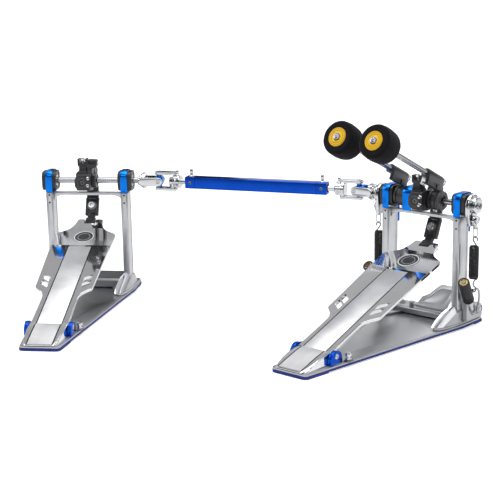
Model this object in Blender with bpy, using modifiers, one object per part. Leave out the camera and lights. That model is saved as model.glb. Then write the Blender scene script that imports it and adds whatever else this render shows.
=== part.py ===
"""Double bass drum pedal: a main pedal with two beaters, a slave pedal and a jointed drive shaft.

Frame: +X along the main axle to the drummer's right, +Y towards the drum, +Z up. The origin is on
the floor under the middle of the main axle. Lengths are metres.
"""
import math

import bmesh
import bpy
import numpy as np
from mathutils import Euler, Matrix, Vector

mm = 0.001

# ---------------------------------------------------------------- driving dimensions
POST_PITCH = 120 * mm            # between the two posts of a pedal, centre to centre
AXLE_HEIGHT = 180 * mm
AXLE_RADIUS = 4.6 * mm
BORE_RADIUS = 4.95 * mm
GAP = 0.3 * mm                   # clearance between neighbouring pieces

RUBBER_TOP = 4.0 * mm
BASE_TOP = 7.3 * mm
HEEL_FRONT = -319 * mm
BASE_REAR = 45.5 * mm

BOARD_SLOPE = math.radians(19.2)
HEEL_PIN = Vector((0, -260.5, 18)) * mm
BOARD_THICKNESS = 5.0 * mm
BOARD_TOP = 5.65 * mm            # top face above the heel pin's axis, across the board
BOARD_START = -1.63 * mm         # heel edge of the board, along the board from the pin

CRANK_PIN = Vector((0, 21, 191)) * mm       # where the link hangs on the axle's crank
TOE_PIN_ALONG = 277 * mm                    # toe pin, along the board from its heel edge
TOE_PIN_BELOW = 5 * mm                      # toe pin, below the board's top face

BEATER_LEAN = math.radians(64.3)            # beater rods lean back this far from upright
ROD_OFFSET = 28.4 * mm                      # rod axis above the axle's axis
ROD_RADIUS = 4.0 * mm
RIGHT_ROD_X = 14 * mm
LEFT_ROD_X = -46 * mm
HEAD_END = 182.7 * mm                       # outer face of a beater head, along its rod
HEAD_LENGTH = 42 * mm
HEAD_RADIUS = 25.2 * mm

SLAVE_ORIGIN = Vector((-512.6, -183.7, 0)) * mm
SLAVE_YAW = math.radians(33.82)
SLAVE_JOINT_X = 114 * mm                    # universal joint centre on the slave axle
MAIN_JOINT_X = -118.5 * mm                  # universal joint centre on the main axle
TUBE_SIDE = 18 * mm
TUBE_START = 46.5 * mm                      # from the slave's joint centre
TUBE_MAIN_GAP = 48.9 * mm                   # from the tube's other end to the main joint centre

SPRING_X = 81 * mm
SPRING_Y = -2 * mm
KNOB_LOW = Vector((71.5, 10, 26)) * mm
KNOB_TOP = Vector((82, -30, 76.5)) * mm
JAW_PIN = Vector((0, -6, 22)) * mm

COLOURS = {
    "aluminium": ((0.78, 0.78, 0.80), 0.35, 0.9),
    "polished": ((0.86, 0.86, 0.88), 0.12, 1.0),
    "chrome": ((0.85, 0.85, 0.86), 0.08, 1.0),
    "blue": ((0.01, 0.16, 0.68), 0.28, 0.8),
    "black": ((0.03, 0.03, 0.033), 0.45, 0.3),
    "rubber": ((0.02, 0.03, 0.22), 0.7, 0.0),
    "felt": ((0.015, 0.015, 0.017), 0.95, 0.0),
}

MODEL = "double_bass_drum_pedal"


# ---------------------------------------------------------------- scene and collections
def clear_scene():
    for old in list(bpy.data.objects):
        bpy.data.objects.remove(old, do_unlink=True)


def new_collection(name):
    collection = bpy.data.collections.new(name)
    bpy.context.scene.collection.children.link(collection)
    return collection


clear_scene()
PARTS = new_collection(MODEL)
CUTTERS = new_collection("cutters")


def make_materials():
    made = {}
    for name, (colour, roughness, metallic) in COLOURS.items():
        material = bpy.data.materials.new(name)
        material.use_nodes = True
        shader = material.node_tree.nodes["Principled BSDF"]
        shader.inputs["Base Color"].default_value = (*colour, 1)
        shader.inputs["Roughness"].default_value = roughness
        shader.inputs["Metallic"].default_value = metallic
        made[name] = material
    return made


MATERIALS = make_materials()


# ---------------------------------------------------------------- bodies and placing
class Body:
    """An empty on a joint's axis. Its pieces are given in the coordinates of `space`."""

    def __init__(self, name, parent=None, location=(0, 0, 0), rotation=(0, 0, 0), space=(0, 0, 0)):
        self.empty = bpy.data.objects.new(name + "_axis", None)
        self.empty.empty_display_size = 0.01
        self.empty.location = location
        self.empty.rotation_euler = rotation
        if parent is not None:
            self.empty.parent = parent.empty
        self.space = Vector(space)
        PARTS.objects.link(self.empty)


def place(obj, body, location, rotation=(0, 0, 0)):
    obj.parent = body.empty
    obj.location = Vector(location) - body.space
    obj.rotation_euler = rotation
    CUTTERS.objects.link(obj)
    obj.hide_render = True
    obj.display_type = "WIRE"
    return obj


def finish(obj, name, material, smooth_angle=35):
    """Turn a built shape into a visible part."""
    CUTTERS.objects.unlink(obj)
    PARTS.objects.link(obj)
    obj.hide_render = False
    obj.display_type = "TEXTURED"
    obj.name = name
    obj.data.name = name
    obj.data.materials.clear()
    obj.data.materials.append(MATERIALS[material])
    obj.data.shade_smooth()
    obj.data.set_sharp_from_angle(angle=math.radians(smooth_angle))
    return obj


def mesh_object(bm, body, location, rotation=(0, 0, 0)):
    mesh = bpy.data.meshes.new("shape")
    bm.to_mesh(mesh)
    bm.free()
    return place(bpy.data.objects.new("shape", mesh), body, location, rotation)


# ---------------------------------------------------------------- basic shapes
def box(body, low, high):
    low, high = Vector(low), Vector(high)
    bm = bmesh.new()
    bmesh.ops.create_cube(bm, size=1)
    bmesh.ops.scale(bm, vec=high - low, verts=bm.verts)
    return mesh_object(bm, body, (low + high) / 2)


def cylinder(body, start, end, radius, end_radius=None, segments=24):
    """A round bar or cone from start to end."""
    start, end = Vector(start), Vector(end)
    along = end - start
    bm = bmesh.new()
    bmesh.ops.create_cone(bm, cap_ends=True, segments=segments, radius1=radius,
                          radius2=radius if end_radius is None else end_radius, depth=along.length)
    rotation = Vector((0, 0, 1)).rotation_difference(along).to_euler()
    return mesh_object(bm, body, (start + end) / 2, rotation)


def ring(body, centre, rotation, radius, wire, segments=12, sides=6):
    """A closed wire ring: a small circle turned about the ring's axis."""
    bm = bmesh.new()
    circle = [(radius + wire * math.cos(2 * math.pi * i / sides), 0,
               wire * math.sin(2 * math.pi * i / sides)) for i in range(sides)]
    verts = [bm.verts.new(point) for point in circle]
    edges = [bm.edges.new((verts[i], verts[(i + 1) % sides])) for i in range(sides)]
    bmesh.ops.spin(bm, geom=verts + edges, cent=(0, 0, 0), axis=(0, 0, 1),
                   angle=2 * math.pi, steps=segments, use_merge=True)
    bmesh.ops.remove_doubles(bm, verts=bm.verts, dist=0.00001)
    bmesh.ops.recalc_face_normals(bm, faces=bm.faces)
    return mesh_object(bm, body, centre, rotation)


def curve_to_mesh(curve):
    """The mesh of a curve object, welded and in the curve's own place."""
    bpy.context.view_layer.update()
    evaluated = curve.evaluated_get(bpy.context.evaluated_depsgraph_get())
    mesh = bpy.data.meshes.new_from_object(evaluated)
    bm = bmesh.new()
    bm.from_mesh(mesh)
    bmesh.ops.remove_doubles(bm, verts=bm.verts, dist=0.00001)
    bmesh.ops.recalc_face_normals(bm, faces=bm.faces)
    bm.to_mesh(mesh)
    bm.free()
    solid = bpy.data.objects.new("shape", mesh)
    solid.parent = curve.parent
    solid.location = curve.location
    solid.rotation_euler = curve.rotation_euler
    CUTTERS.objects.link(solid)
    solid.hide_render = True
    solid.display_type = "WIRE"
    bpy.data.objects.remove(curve, do_unlink=True)
    return solid


PLANES = {
    "XY": (0, 0, 0),
    "XZ": (math.pi / 2, 0, 0),
    "YZ": (math.pi / 2, 0, math.pi / 2),
}


def outline(body, plane, points, low, high):
    """A flat outline in a plane, made solid from low to high across the plane."""
    data = bpy.data.curves.new("outline", "CURVE")
    data.dimensions = "2D"
    data.fill_mode = "BOTH"
    data.extrude = (high - low) / 2
    spline = data.splines.new("POLY")
    spline.points.add(len(points) - 1)
    for target, (u, v) in zip(spline.points, points):
        target.co = (u, v, 0, 1)
    spline.use_cyclic_u = True
    middle = (low + high) / 2
    across = {"XY": (0, 0, middle), "XZ": (0, middle, 0), "YZ": (middle, 0, 0)}[plane]
    curve = place(bpy.data.objects.new("outline", data), body, across, PLANES[plane])
    return curve_to_mesh(curve)


def wire_path(body, points, radius, closed=False):
    data = bpy.data.curves.new("wire", "CURVE")
    data.dimensions = "3D"
    data.bevel_depth = radius
    data.bevel_resolution = 1
    data.use_fill_caps = True
    spline = data.splines.new("POLY")
    spline.points.add(len(points) - 1)
    for target, point in zip(spline.points, points):
        target.co = (*point, 1)
    spline.use_cyclic_u = closed
    return curve_to_mesh(place(bpy.data.objects.new("wire", data), body, (0, 0, 0)))


def turned(body, profile, location, rotation, steps=24):
    """A turned solid about local Z. The profile is (radius, height) from top to bottom."""
    bm = bmesh.new()
    verts = [bm.verts.new((radius, 0, height)) for radius, height in profile]
    for first, second in zip(verts, verts[1:]):
        bm.edges.new((first, second))
    obj = mesh_object(bm, body, location, rotation)
    screw = obj.modifiers.new("Screw", "SCREW")
    screw.steps = steps
    screw.render_steps = steps
    screw.use_merge_vertices = True
    screw.merge_threshold = 0.00001
    return obj


def hull(body, points):
    bm = bmesh.new()
    for point in points:
        bm.verts.new(point)
    bmesh.ops.convex_hull(bm, input=bm.verts)
    bmesh.ops.recalc_face_normals(bm, faces=bm.faces)
    return mesh_object(bm, body, (0, 0, 0))


def boolean(obj, operation, others):
    for other in others:
        modifier = obj.modifiers.new(operation.title(), "BOOLEAN")
        modifier.operation = operation
        modifier.solver = "EXACT"
        modifier.object = other
    return obj


def join(obj, *others):
    return boolean(obj, "UNION", others)


def cut(obj, *others):
    return boolean(obj, "DIFFERENCE", others)


def arc(centre, radii, start, end, steps):
    """Points on an elliptical arc, angles in degrees."""
    angles = np.radians(np.linspace(start, end, steps))
    return [(centre[0] + radii[0] * math.cos(a), centre[1] + radii[1] * math.sin(a)) for a in angles]


def mirrored(points):
    """The points and their mirror images across X = 0, as one closed outline."""
    return points + [(-x, y) for x, y in reversed(points)]


def scaled(points):
    return [(u * mm, v * mm) for u, v in points]


# ---------------------------------------------------------------- base
def base_outline(inset):
    """Plan of the floor plate: narrow at the heel and wide under the posts."""
    side = scaled([(22, -319), (26.5, -318), (29.5, -315), (61, -74), (70.5, -8), (71, 24),
                   (70.5, 43), (68, 45.5)])
    trimmed = []
    for x, y in side:
        y = min(max(y, HEEL_FRONT + inset), BASE_REAR - inset)
        trimmed.append((x - inset, y))
    return mirrored(trimmed)


def rubber_sheet(name, frame):
    sheet = outline(frame, "XY", base_outline(0), 1.5 * mm, RUBBER_TOP)
    heel = scaled([(22, -319), (26.5, -318), (29.5, -315), (34.4, -277)])
    rear = scaled([(71, 23), (70.5, 43), (68, 45.5)])
    middle = scaled([(60, -12), (60, 12)])
    heel_pad = outline(frame, "XY", mirrored(heel), 0, 2 * mm)
    middle_pad = outline(frame, "XY", mirrored(middle), 0, 2 * mm)
    rear_pad = outline(frame, "XY", mirrored(rear), 0, 2 * mm)
    return finish(join(sheet, heel_pad, middle_pad, rear_pad), name, "rubber")


def base_plate(name, frame):
    plate = outline(frame, "XY", base_outline(0.8 * mm), RUBBER_TOP + GAP, BASE_TOP)
    return finish(plate, name, "aluminium")


def foot_lobe(frame, side):
    """The flat foot casting around one post, and the mound that rises to the post."""
    plan = [(34, -11), (39, -27), (49, -56), (54, -60.5), (60.5, -57), (66, -40), (69, -4),
            (69.8, 24), (69.3, 42), (34, 38)]
    pad = outline(frame, "XY", [(side * x * mm, y * mm) for x, y in plan], 7.6 * mm, 10.6 * mm)
    mound_low = [(46, -30), (50, -56), (55, -58), (61, -50), (66, -33), (67.5, 0), (67.5, 26), (46, 26)]
    mound_top = [(53.6, -19.5), (66.2, -19.5), (66.2, 11.5), (53.6, 11.5)]
    points = [(side * x * mm, y * mm, 9 * mm) for x, y in mound_low]
    points += [(side * x * mm, y * mm, 26 * mm) for x, y in mound_top]
    points += [(side * x * mm, -18 * mm, 35 * mm) for x in (56.5, 62.5)]
    return pad, hull(frame, points)


def post_pocket(frame, side):
    low, high = sorted((side * 54.2, side * 65.8))
    return box(frame, Vector((low, -17.3, 25.7)) * mm, Vector((high, 9, 60)) * mm)


def cross_foot(name, frame, is_main):
    """The casting that joins the two posts on the floor plate."""
    if is_main:
        profile = [(-11, 7.6), (38, 7.6), (38, 12), (4, 12), (-1, 18), (-9, 18), (-11, 16.5)]
    else:
        profile = [(-11, 7.6), (45, 7.6), (45, 21.5), (-9, 21.5), (-11, 20)]
    foot = outline(frame, "YZ", scaled(profile), -52 * mm, 52 * mm)
    for side in (-1, 1):
        join(foot, *foot_lobe(frame, side))
    if is_main:
        join(foot, *[box(frame, Vector((x, -10, 15)) * mm, Vector((x + 4.5, -2, 26.5)) * mm)
                     for x in (-21, 38.5)])
        pin_hole = JAW_PIN - Vector((30 * mm, 0, 0)), JAW_PIN + Vector((50 * mm, 0, 0))
        cut(foot, cylinder(frame, *pin_hole, 2.8 * mm, segments=16))
    for side in (-1, 1):
        cut(foot, post_pocket(frame, side))
        if is_main:
            low, high = sorted((side * 65.7, side * 80))
            cut(foot, box(frame, Vector((low, -8, 10.9)) * mm, Vector((high, 40, 40)) * mm))
    return finish(foot, name, "aluminium", 25)


def heel_section(width, top):
    edge = 1.6 * mm
    low = BASE_TOP + GAP
    return [(-width, low), (-width, top - edge), (-width + edge, top), (width - edge, top),
            (width, top - edge), (width, low)]


def loft(body, stations, sections):
    """A closed solid through equal-length sections, one at each Y station."""
    bm = bmesh.new()
    rows = [[bm.verts.new((x, y, z)) for x, z in section] for y, section in zip(stations, sections)]
    count = len(rows[0])
    for near, far in zip(rows, rows[1:]):
        for i in range(count):
            j = (i + 1) % count
            bm.faces.new((near[i], near[j], far[j], far[i]))
    bm.faces.new(rows[0])
    bm.faces.new(rows[-1])
    bmesh.ops.recalc_face_normals(bm, faces=bm.faces)
    return mesh_object(bm, body, (0, 0, 0))


HEEL_STATIONS = [(-266, 24.0, 28.0), (-274, 22.3, 28.0), (-284, 19.7, 27.6), (-295, 16.4, 26.8),
                 (-305, 13.2, 25.6), (-313, 10.9, 23.8), (-318, 9.6, 21.5)]


def heel_plate(name, frame):
    stations = [y * mm for y, _, _ in HEEL_STATIONS]
    outer = loft(frame, stations, [heel_section(w * mm, z * mm) for _, z, w in HEEL_STATIONS])
    inner_rows = HEEL_STATIONS[:5]
    inner = loft(frame, [y * mm + 2 * mm for y, _, _ in inner_rows],
                 [[(-(w - 3) * mm, 5 * mm), (-(w - 3) * mm, (z - 2.5) * mm),
                   ((w - 3) * mm, (z - 2.5) * mm), ((w - 3) * mm, 5 * mm)] for _, z, w in inner_rows])
    return finish(cut(outer, inner), name, "aluminium")


def heel_hinge(name, frame):
    """Two D-shaped blocks that carry the heel pin."""
    shape = scaled([(-275, 7.7), (-245.5, 7.7)] + arc((-261, 13.7), (15.5, 13.5), 0, 150, 9))
    right = outline(frame, "YZ", shape, 28.6 * mm, 34.4 * mm)
    left = outline(frame, "YZ", shape, -34.4 * mm, -28.6 * mm)
    reach = Vector((36, 0, 0)) * mm
    pin = cylinder(frame, HEEL_PIN - reach, HEEL_PIN + reach, 2.6 * mm, segments=16)
    return finish(join(right, pin, left), name, "blue")


# ---------------------------------------------------------------- posts, crossbar and bearings
def post(name, frame, side):
    centre = side * POST_PITCH / 2
    column = box(frame, (centre - 5.5 * mm, -17 * mm, 26 * mm), (centre + 5.5 * mm, 8.7 * mm, 162.3 * mm))
    holes = [cylinder(frame, (centre, -18 * mm, z * mm), (centre, -11 * mm, z * mm), 1.6 * mm, segments=12)
             for z in (158.8, 146.8)]
    return finish(cut(column, *holes), name, "aluminium")


def crossbar(name, frame):
    inner = POST_PITCH / 2 / mm - 5.8
    side = [(inner, 162), (inner, 149)] + arc((38, 149), (inner - 38 - 0.5, 8.5), 10, 90, 6)
    bar = outline(frame, "XZ", scaled(mirrored(side)), -9 * mm, 0)
    return finish(bar, name, "aluminium")


def housing_profile(half, steps=4):
    """A rounded square around the axle, in Y and Z."""
    corner = 8.5
    middle = AXLE_HEIGHT / mm
    reach = half - corner
    points = []
    for turn, (y, z) in enumerate(((reach, reach), (-reach, reach), (-reach, -reach), (reach, -reach))):
        points += arc((y, middle + z), (corner, corner), 90 * turn, 90 * turn + 90, steps)
    return scaled(points)


def axle_bore(frame, low, high):
    return cylinder(frame, (low, 0, AXLE_HEIGHT), (high, 0, AXLE_HEIGHT), BORE_RADIUS)


def bearing_housing(name, frame, low, high):
    block = outline(frame, "YZ", housing_profile(15.2), low, high)
    seats = [cylinder(frame, (x - 1.5 * mm, 0, AXLE_HEIGHT), (x + 1.5 * mm, 0, AXLE_HEIGHT), 9 * mm)
             for x in (low, high)]
    return finish(cut(block, axle_bore(frame, low - 1 * mm, high + 1 * mm), *seats), name, "black")


def bearing_band(name, frame, low, high, tongue=None):
    """The strap over a bearing housing. Outer bands have a tongue behind the post."""
    outer, inner = 16.9, 15.6
    middle = AXLE_HEIGHT / mm
    foot = 162.8

    def over(half, corner):
        reach = half - corner
        first = arc((reach, middle + reach), (corner, corner), 0, 90, 5)
        second = arc((-reach, middle + reach), (corner, corner), 90, 180, 5)
        return [(half, foot)] + first + second + [(-half, foot)]

    strap = outline(frame, "YZ", scaled(over(outer, 9.5) + over(inner, 8.8)[::-1]), low, high)
    if tongue:
        join(strap, box(frame, (tongue[0], (inner + 0.05) * mm, 137.5 * mm),
                        (tongue[1], (outer - 0.05) * mm, 170 * mm)))
    return finish(strap, name, "blue")


# ---------------------------------------------------------------- footboard and link
def board_outline():
    """Half plan of the footboard: X across, Y along from the heel edge."""
    side = [(26.8, 0), (26.3, 66)]
    side += [(28.3, 74), (33, 81.5), (39, 87), (43, 90.5)]
    side += [(48.3, 238), (46.5, 241.5), (34, 249)]
    side += [(28.5, 253.5), (24.6, 260), (22, 269), (20.7, 278), (19.3, 283), (10.2, 283.5), (8.4, 281)]
    side += [(8.4, 271)]
    return side


def footboard(name, board):
    """Built flat in the board's own frame, whose X is the heel pin's axis."""
    along, top = BOARD_START, BOARD_TOP
    points = [(x * mm, y * mm + along) for x, y in board_outline()]
    plate = outline(board, "XY", mirrored(points), top - BOARD_THICKNESS, top)
    ribs = [box(board, (x * mm, 6 * mm + along, top - 9 * mm), (x * mm + 4 * mm, 84 * mm + along, top - 4 * mm))
            for x in (-25.5, 21.5)]
    knuckles = [cylinder(board, (x * mm, 0, 0), (x * mm + 8 * mm, 0, 0), 5.2 * mm) for x in (-27.8, 19.8)]
    toe = TOE_PIN_ALONG + along
    lugs = [box(board, (x * mm, toe - 7 * mm, top - 9.5 * mm), (x * mm + 9 * mm, toe + 5 * mm, top - 4 * mm))
            for x in (-18.2, 9.2)]
    join(plate, *ribs, *knuckles, *lugs)
    grooves = [box(board, (x * mm - 1.2 * mm, -9 * mm, top - 1 * mm), (x * mm + 1.2 * mm, 201 * mm, top + 1 * mm))
               for x in (-18.5, 18.5)]
    windows = []
    for side in (-1, 1):
        for near, far in ((91, 102.5), (106, 117.5)):
            corners = [(25.3, near), (37.5, near + 9.5), (37.5, far + 9.5), (25.3, far)]
            points = [(side * x * mm, y * mm + along) for x, y in corners]
            windows.append(outline(board, "XY", points, top - 8 * mm, top + 2 * mm))
    pin_axis = top - TOE_PIN_BELOW
    pin_hole = cylinder(board, (-30 * mm, toe, pin_axis), (30 * mm, toe, pin_axis), 2.4 * mm, segments=16)
    heel_hole = cylinder(board, (-40 * mm, 0, 0), (40 * mm, 0, 0), 3.0 * mm, segments=16)
    cut(plate, heel_hole, pin_hole, *grooves, *windows)
    return finish(plate, name, "polished")


def toe_pin():
    """The toe pin's centre in the pedal's frame."""
    local = Vector((0, TOE_PIN_ALONG + BOARD_START, BOARD_TOP - TOE_PIN_BELOW))
    return HEEL_PIN + Matrix.Rotation(BOARD_SLOPE, 3, "X") @ local


def capsule(start, end, radius, steps=7):
    """Outline of a bar with round ends, in any plane, in metres."""
    start, end = Vector(start), Vector(end)
    angle = math.degrees(math.atan2(end[1] - start[1], end[0] - start[0]))
    return (arc(end, (radius, radius), angle - 90, angle + 90, steps)
            + arc(start, (radius, radius), angle + 90, angle + 270, steps))


def link(name, body):
    """The curved bar from the crank to the footboard's toe. Its fork at the top has a slot for the
    crank's pin, long enough for the pin's drift against the bar while the pedal is pressed."""
    toe = toe_pin()
    half, neck_half = 9.5 * mm, 8.1 * mm
    knee = (12.6 * mm, 122.5 * mm)
    front = [(9.3, 120.5), (13.0, 130), (17.2, 139), (21.6, 148), (23.6, 158), (23.4, 170), (21, 186)]
    back = [(14.5, 119), (18.6, 128.5), (22.6, 137.5), (26.6, 147), (28.6, 158), (28.4, 171), (26.5, 188)]
    plate = outline(body, "YZ", scaled(front + back[::-1]), -half, half)
    slot_centre = Vector((CRANK_PIN.y + 1.4 * mm, CRANK_PIN.z - 0.4 * mm))
    ear = outline(body, "YZ", arc(slot_centre, (9 * mm, 7 * mm), 0, 345, 20), -half, half)
    tail = outline(body, "YZ", capsule((toe.y, toe.z), knee, 3.4 * mm), -5.8 * mm, 5.8 * mm)
    pin = cylinder(body, (-17.5 * mm, toe.y, toe.z), (17.5 * mm, toe.y, toe.z), 2.0 * mm, segments=16)
    bolt = cylinder(body, (0, 12.6 * mm, 137.9 * mm), (0, 19 * mm, 134.7 * mm), 5.4 * mm, segments=16)
    join(plate, ear, tail, pin, bolt)
    fork = [box(body, (low, 5 * mm, 166 * mm), (high, 40 * mm, 205 * mm))
            for low, high in ((-half - mm, -neck_half), (neck_half, half + mm))]
    fork.append(box(body, (-5.2 * mm, 5 * mm, 172 * mm), (5.2 * mm, 40 * mm, 205 * mm)))
    travel = Vector((1.8 * mm, 0))
    slot = capsule(slot_centre - travel, slot_centre + travel, 3.0 * mm, 5)
    cut(plate, *fork, outline(body, "YZ", slot, -half - mm, half + mm))
    return finish(plate, name, "black")


# ---------------------------------------------------------------- what turns on an axle
def drive_hub(name, body, low, disc):
    """The clamp on the axle with the crank that pulls the link, and the seat above it that sets the
    footboard's angle against the beater."""
    profile = [(-26, 172), (-22, 167), (-8, 165), (6, 167), (9.5, 174), (9.5, 185), (6, 192.5),
               (-8, 195), (-23, 195), (-26, 192)]
    hub = outline(body, "YZ", scaled(profile), low, 8 * mm)
    left = low / mm
    for corner in ([(left - 1, 183), (left + 6.5, 196), (left - 1, 196)],
                   [(left - 1, 177), (left + 6.5, 164), (left - 1, 164)]):
        cut(hub, outline(body, "XZ", scaled(corner), -30 * mm, -15 * mm))
    crank = outline(body, "YZ", capsule((0, AXLE_HEIGHT), CRANK_PIN.yz, 5 * mm), -4.6 * mm, 4.6 * mm)
    reach = Vector((8.0, 0, 0)) * mm
    pin = cylinder(body, CRANK_PIN - reach, CRANK_PIN + reach, 2.0 * mm, segments=16)
    seat_side = [(-24.8, 194), (-9.2, 194), (-11, 207), (-12, 208), (-12, 218), (-25, 218), (-25, 208),
                 (-23.5, 206.5), (-23.5, 199)]
    seat = outline(body, "YZ", scaled(seat_side), -10 * mm, 5 * mm)
    channel = box(body, Vector((-7, -30, 211)) * mm, Vector((2, -5, 220)) * mm)
    neck = [box(body, Vector((low_x, -30, 198.5)) * mm, Vector((high_x, -5, 206)) * mm)
            for low_x, high_x in ((-11, -8.2), (3.2, 6))]
    cut(seat, channel, *neck)
    join(hub, crank, pin, seat)
    if disc:
        join(hub, cylinder(body, (7 * mm, 0, AXLE_HEIGHT), (14 * mm, 0, AXLE_HEIGHT), 12 * mm))
    bolt_recess = cylinder(body, (-1 * mm, -27 * mm, 180.6 * mm), (-1 * mm, -23 * mm, 180.6 * mm), 4.5 * mm)
    cut(hub, axle_bore(body, low - mm, 20 * mm), bolt_recess)
    return finish(hub, name, "black")


def beater_holder(name, beater, rod_x, hub_low, hub_high, flange):
    """A tilted plate whose round top wraps the rod, on a hub around the axle."""
    offset = ROD_OFFSET / mm
    middle = rod_x / mm
    low = middle + 1.3
    top = [(middle + 7, offset - 4)] + arc((middle, offset), (7, 7), 0, 180, 11) + [(middle - 7, offset - 4)]
    grip = outline(beater, "XY", scaled(top), 0, 41 * mm)
    web = outline(beater, "XY", scaled([(low, offset - 16), (middle + 7, offset - 16), (middle + 7, offset - 3.5),
                                        (low, offset - 3.5)]), -1 * mm, 40.5 * mm)
    heel = outline(beater, "YZ", scaled([(offset - 12, -1.5), (offset - 12, 14), (offset - 17, 13),
                                         (offset - 23, 4), (offset - 23, -5)]), low * mm + 0.2 * mm,
                   rod_x + 6.8 * mm)
    hub = cylinder(beater, (hub_low, 0, 0), (hub_high, 0, 0), 14 * mm, segments=28)
    join(hub, heel, web, grip)
    if flange:
        join(hub, cylinder(beater, (hub_high - mm, 0, 0), (hub_high + 7.5 * mm, 0, 0), 15.3 * mm, segments=8))
    axle_hole = cylinder(beater, (hub_low - mm, 0, 0), (hub_high + 9 * mm, 0, 0), BORE_RADIUS)
    rod_hole = cylinder(beater, (rod_x, ROD_OFFSET, -12 * mm), (rod_x, ROD_OFFSET, 50 * mm), ROD_RADIUS + GAP)
    return finish(cut(hub, axle_hole, rod_hole), name, "black")


def beater_rod(name, beater, rod_x):
    rod = cylinder(beater, (rod_x, ROD_OFFSET, -8 * mm), (rod_x, ROD_OFFSET, HEAD_END + 1.5 * mm),
                   ROD_RADIUS, segments=20)
    return finish(rod, name, "chrome")


def head_profile():
    """(radius, height) from the outer face down to the rod side, then up the bore."""
    bulge = 0.75
    outer_fillet, inner_fillet = 4.8, 17.5
    length, radius = HEAD_LENGTH / mm, HEAD_RADIUS / mm - bulge
    bore = ROD_RADIUS / mm + 0.35
    rim = [(radius - outer_fillet + outer_fillet * math.sin(a), -outer_fillet * (1 - math.cos(a)))
           for a in np.linspace(0, math.pi / 2, 5)]
    wall_length = length - outer_fillet - inner_fillet
    wall = [(radius + bulge * math.sin(math.pi * f), -outer_fillet - wall_length * f) for f in (0.33, 0.67)]
    base = [(radius - inner_fillet + inner_fillet * math.cos(a),
             -length + inner_fillet - inner_fillet * math.sin(a)) for a in np.linspace(0, math.pi / 2, 7)]
    loop = [(bore, 0)] + rim + wall + base + [(bore, -length), (bore, 0)]
    return scaled(loop)


def beater_head(name, beater, rod_x):
    head = turned(beater, head_profile(), (rod_x, ROD_OFFSET, HEAD_END), (0, 0, 0), 24)
    return finish(head, name, "felt")


SWIVEL = (SPRING_Y, 160.5 * mm)          # pin on the cam that the spring hangs from, in Y and Z


def spring_lever(name, body, side):
    """The cam on the axle's end, with the pin that the spring hangs from."""
    inner, plate, outer = 73.2 * mm * side, 79 * mm * side, 87 * mm * side
    low, high = sorted((inner, plate))
    profile = [(-15, 166), (-16.5, 176), (-15.5, 186), (-10, 193.5), (0, 196), (9, 192.5), (14, 184),
               (13, 174), (7, 160), (4.5, 154.5), (-1.5, 152.5), (-6, 153), (-10.5, 151.5)]
    cam = outline(body, "YZ", scaled(profile), low, high)
    boss = cylinder(body, (plate - side * mm, 0, AXLE_HEIGHT), (84.2 * mm * side, 0, AXLE_HEIGHT), 8.5 * mm)
    pin = cylinder(body, (plate - side * mm, *SWIVEL), (outer, *SWIVEL), 1.9 * mm, segments=12)
    cap = cylinder(body, (outer - side * 2 * mm, *SWIVEL), (outer, *SWIVEL), 6 * mm, segments=20)
    join(cam, boss, pin, cap)
    bore_low, bore_high = sorted((inner - side * mm, 90 * mm * side))
    cut(cam, cylinder(body, (bore_low, 0, AXLE_HEIGHT), (bore_high, 0, AXLE_HEIGHT), BORE_RADIUS))
    return finish(cam, name, "chrome")


# ---------------------------------------------------------------- springs and their adjusters
def spring_points(side):
    """Lower loop and coil along one wire, around a vertical axis."""
    loop, coil_radius, turns, per_turn = 4.2, 4.6, 9, 8
    low, high = 74.6, 123.4
    lower = [(x, 0, z) for x, z in arc((0, 59), (loop, loop), -210, 90, 9)]
    coil = []
    for step in range(turns * per_turn + 1):
        turn = 2 * math.pi * step / per_turn
        height = low + (high - low) * step / (turns * per_turn)
        coil.append((coil_radius * math.cos(turn), coil_radius * math.sin(turn), height))
    points = lower + [(0, 0, 69)] + coil
    return [(side * x * mm + side * SPRING_X, y * mm + SPRING_Y, z * mm) for x, y, z in points]


def return_spring(name, body, side):
    return finish(wire_path(body, spring_points(side), 0.95 * mm), name, "black")


def spring_hook(name, body, side):
    """The swivel that hangs on the cam's pin, with the stem and hook down to the coil. Its eye leaves
    the pin room to drift while the cam turns."""
    middle = side * 82.4 * mm
    low, high = sorted((side * 80.2 * mm, side * 84.4 * mm))
    eye = Vector(SWIVEL) + Vector((-1.2, -1.3)) * mm
    swivel = outline(body, "YZ", arc(eye, (7 * mm, 7 * mm), 0, 345, 20), low, high)
    tail = outline(body, "YZ", capsule(eye, (SPRING_Y, 150 * mm), 3.2 * mm, 5), low, high)
    stem = cylinder(body, (middle, SPRING_Y, 126 * mm), (middle, SPRING_Y, 149 * mm), 1.1 * mm, segments=10)
    hook = ring(body, (middle, SPRING_Y, 140 * mm), (math.pi / 2, 0, 0), 4.2 * mm, 1.0 * mm)
    join(swivel, tail, stem, hook)
    hole = cylinder(body, (side * 78 * mm, *eye), (side * 88 * mm, *eye), 4.2 * mm, segments=20)
    return finish(cut(swivel, hole), name, "chrome")


def spring_bracket(name, frame, side):
    """The casting beside a post that seats the tension screw, with the arm that holds the spring."""
    profile = [(-7, 11.3), (34, 11.3), (34, 24)] + arc((24, 24), (9, 9), 0, 120, 5)
    profile += [(16.5, 31), (14.5, 20.5), (3.5, 20.5), (-3, 30), (-7, 30)]
    low, high = sorted((66 * mm * side, 75 * mm * side))
    block = outline(frame, "YZ", scaled(profile), low, high)
    boss = cylinder(frame, (74 * mm * side, 24 * mm, 24 * mm), (78 * mm * side, 24 * mm, 24 * mm), 6.5 * mm)
    path = [(72, 28, 26), (79, 22, 44), (81, 14, 56), (81, 10, 59), (81, -3.6, 59)]
    arm = wire_path(frame, [(side * x * mm, y * mm, z * mm) for x, y, z in path], 1.8 * mm)
    return finish(join(block, boss, arm), name, "aluminium")


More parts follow.
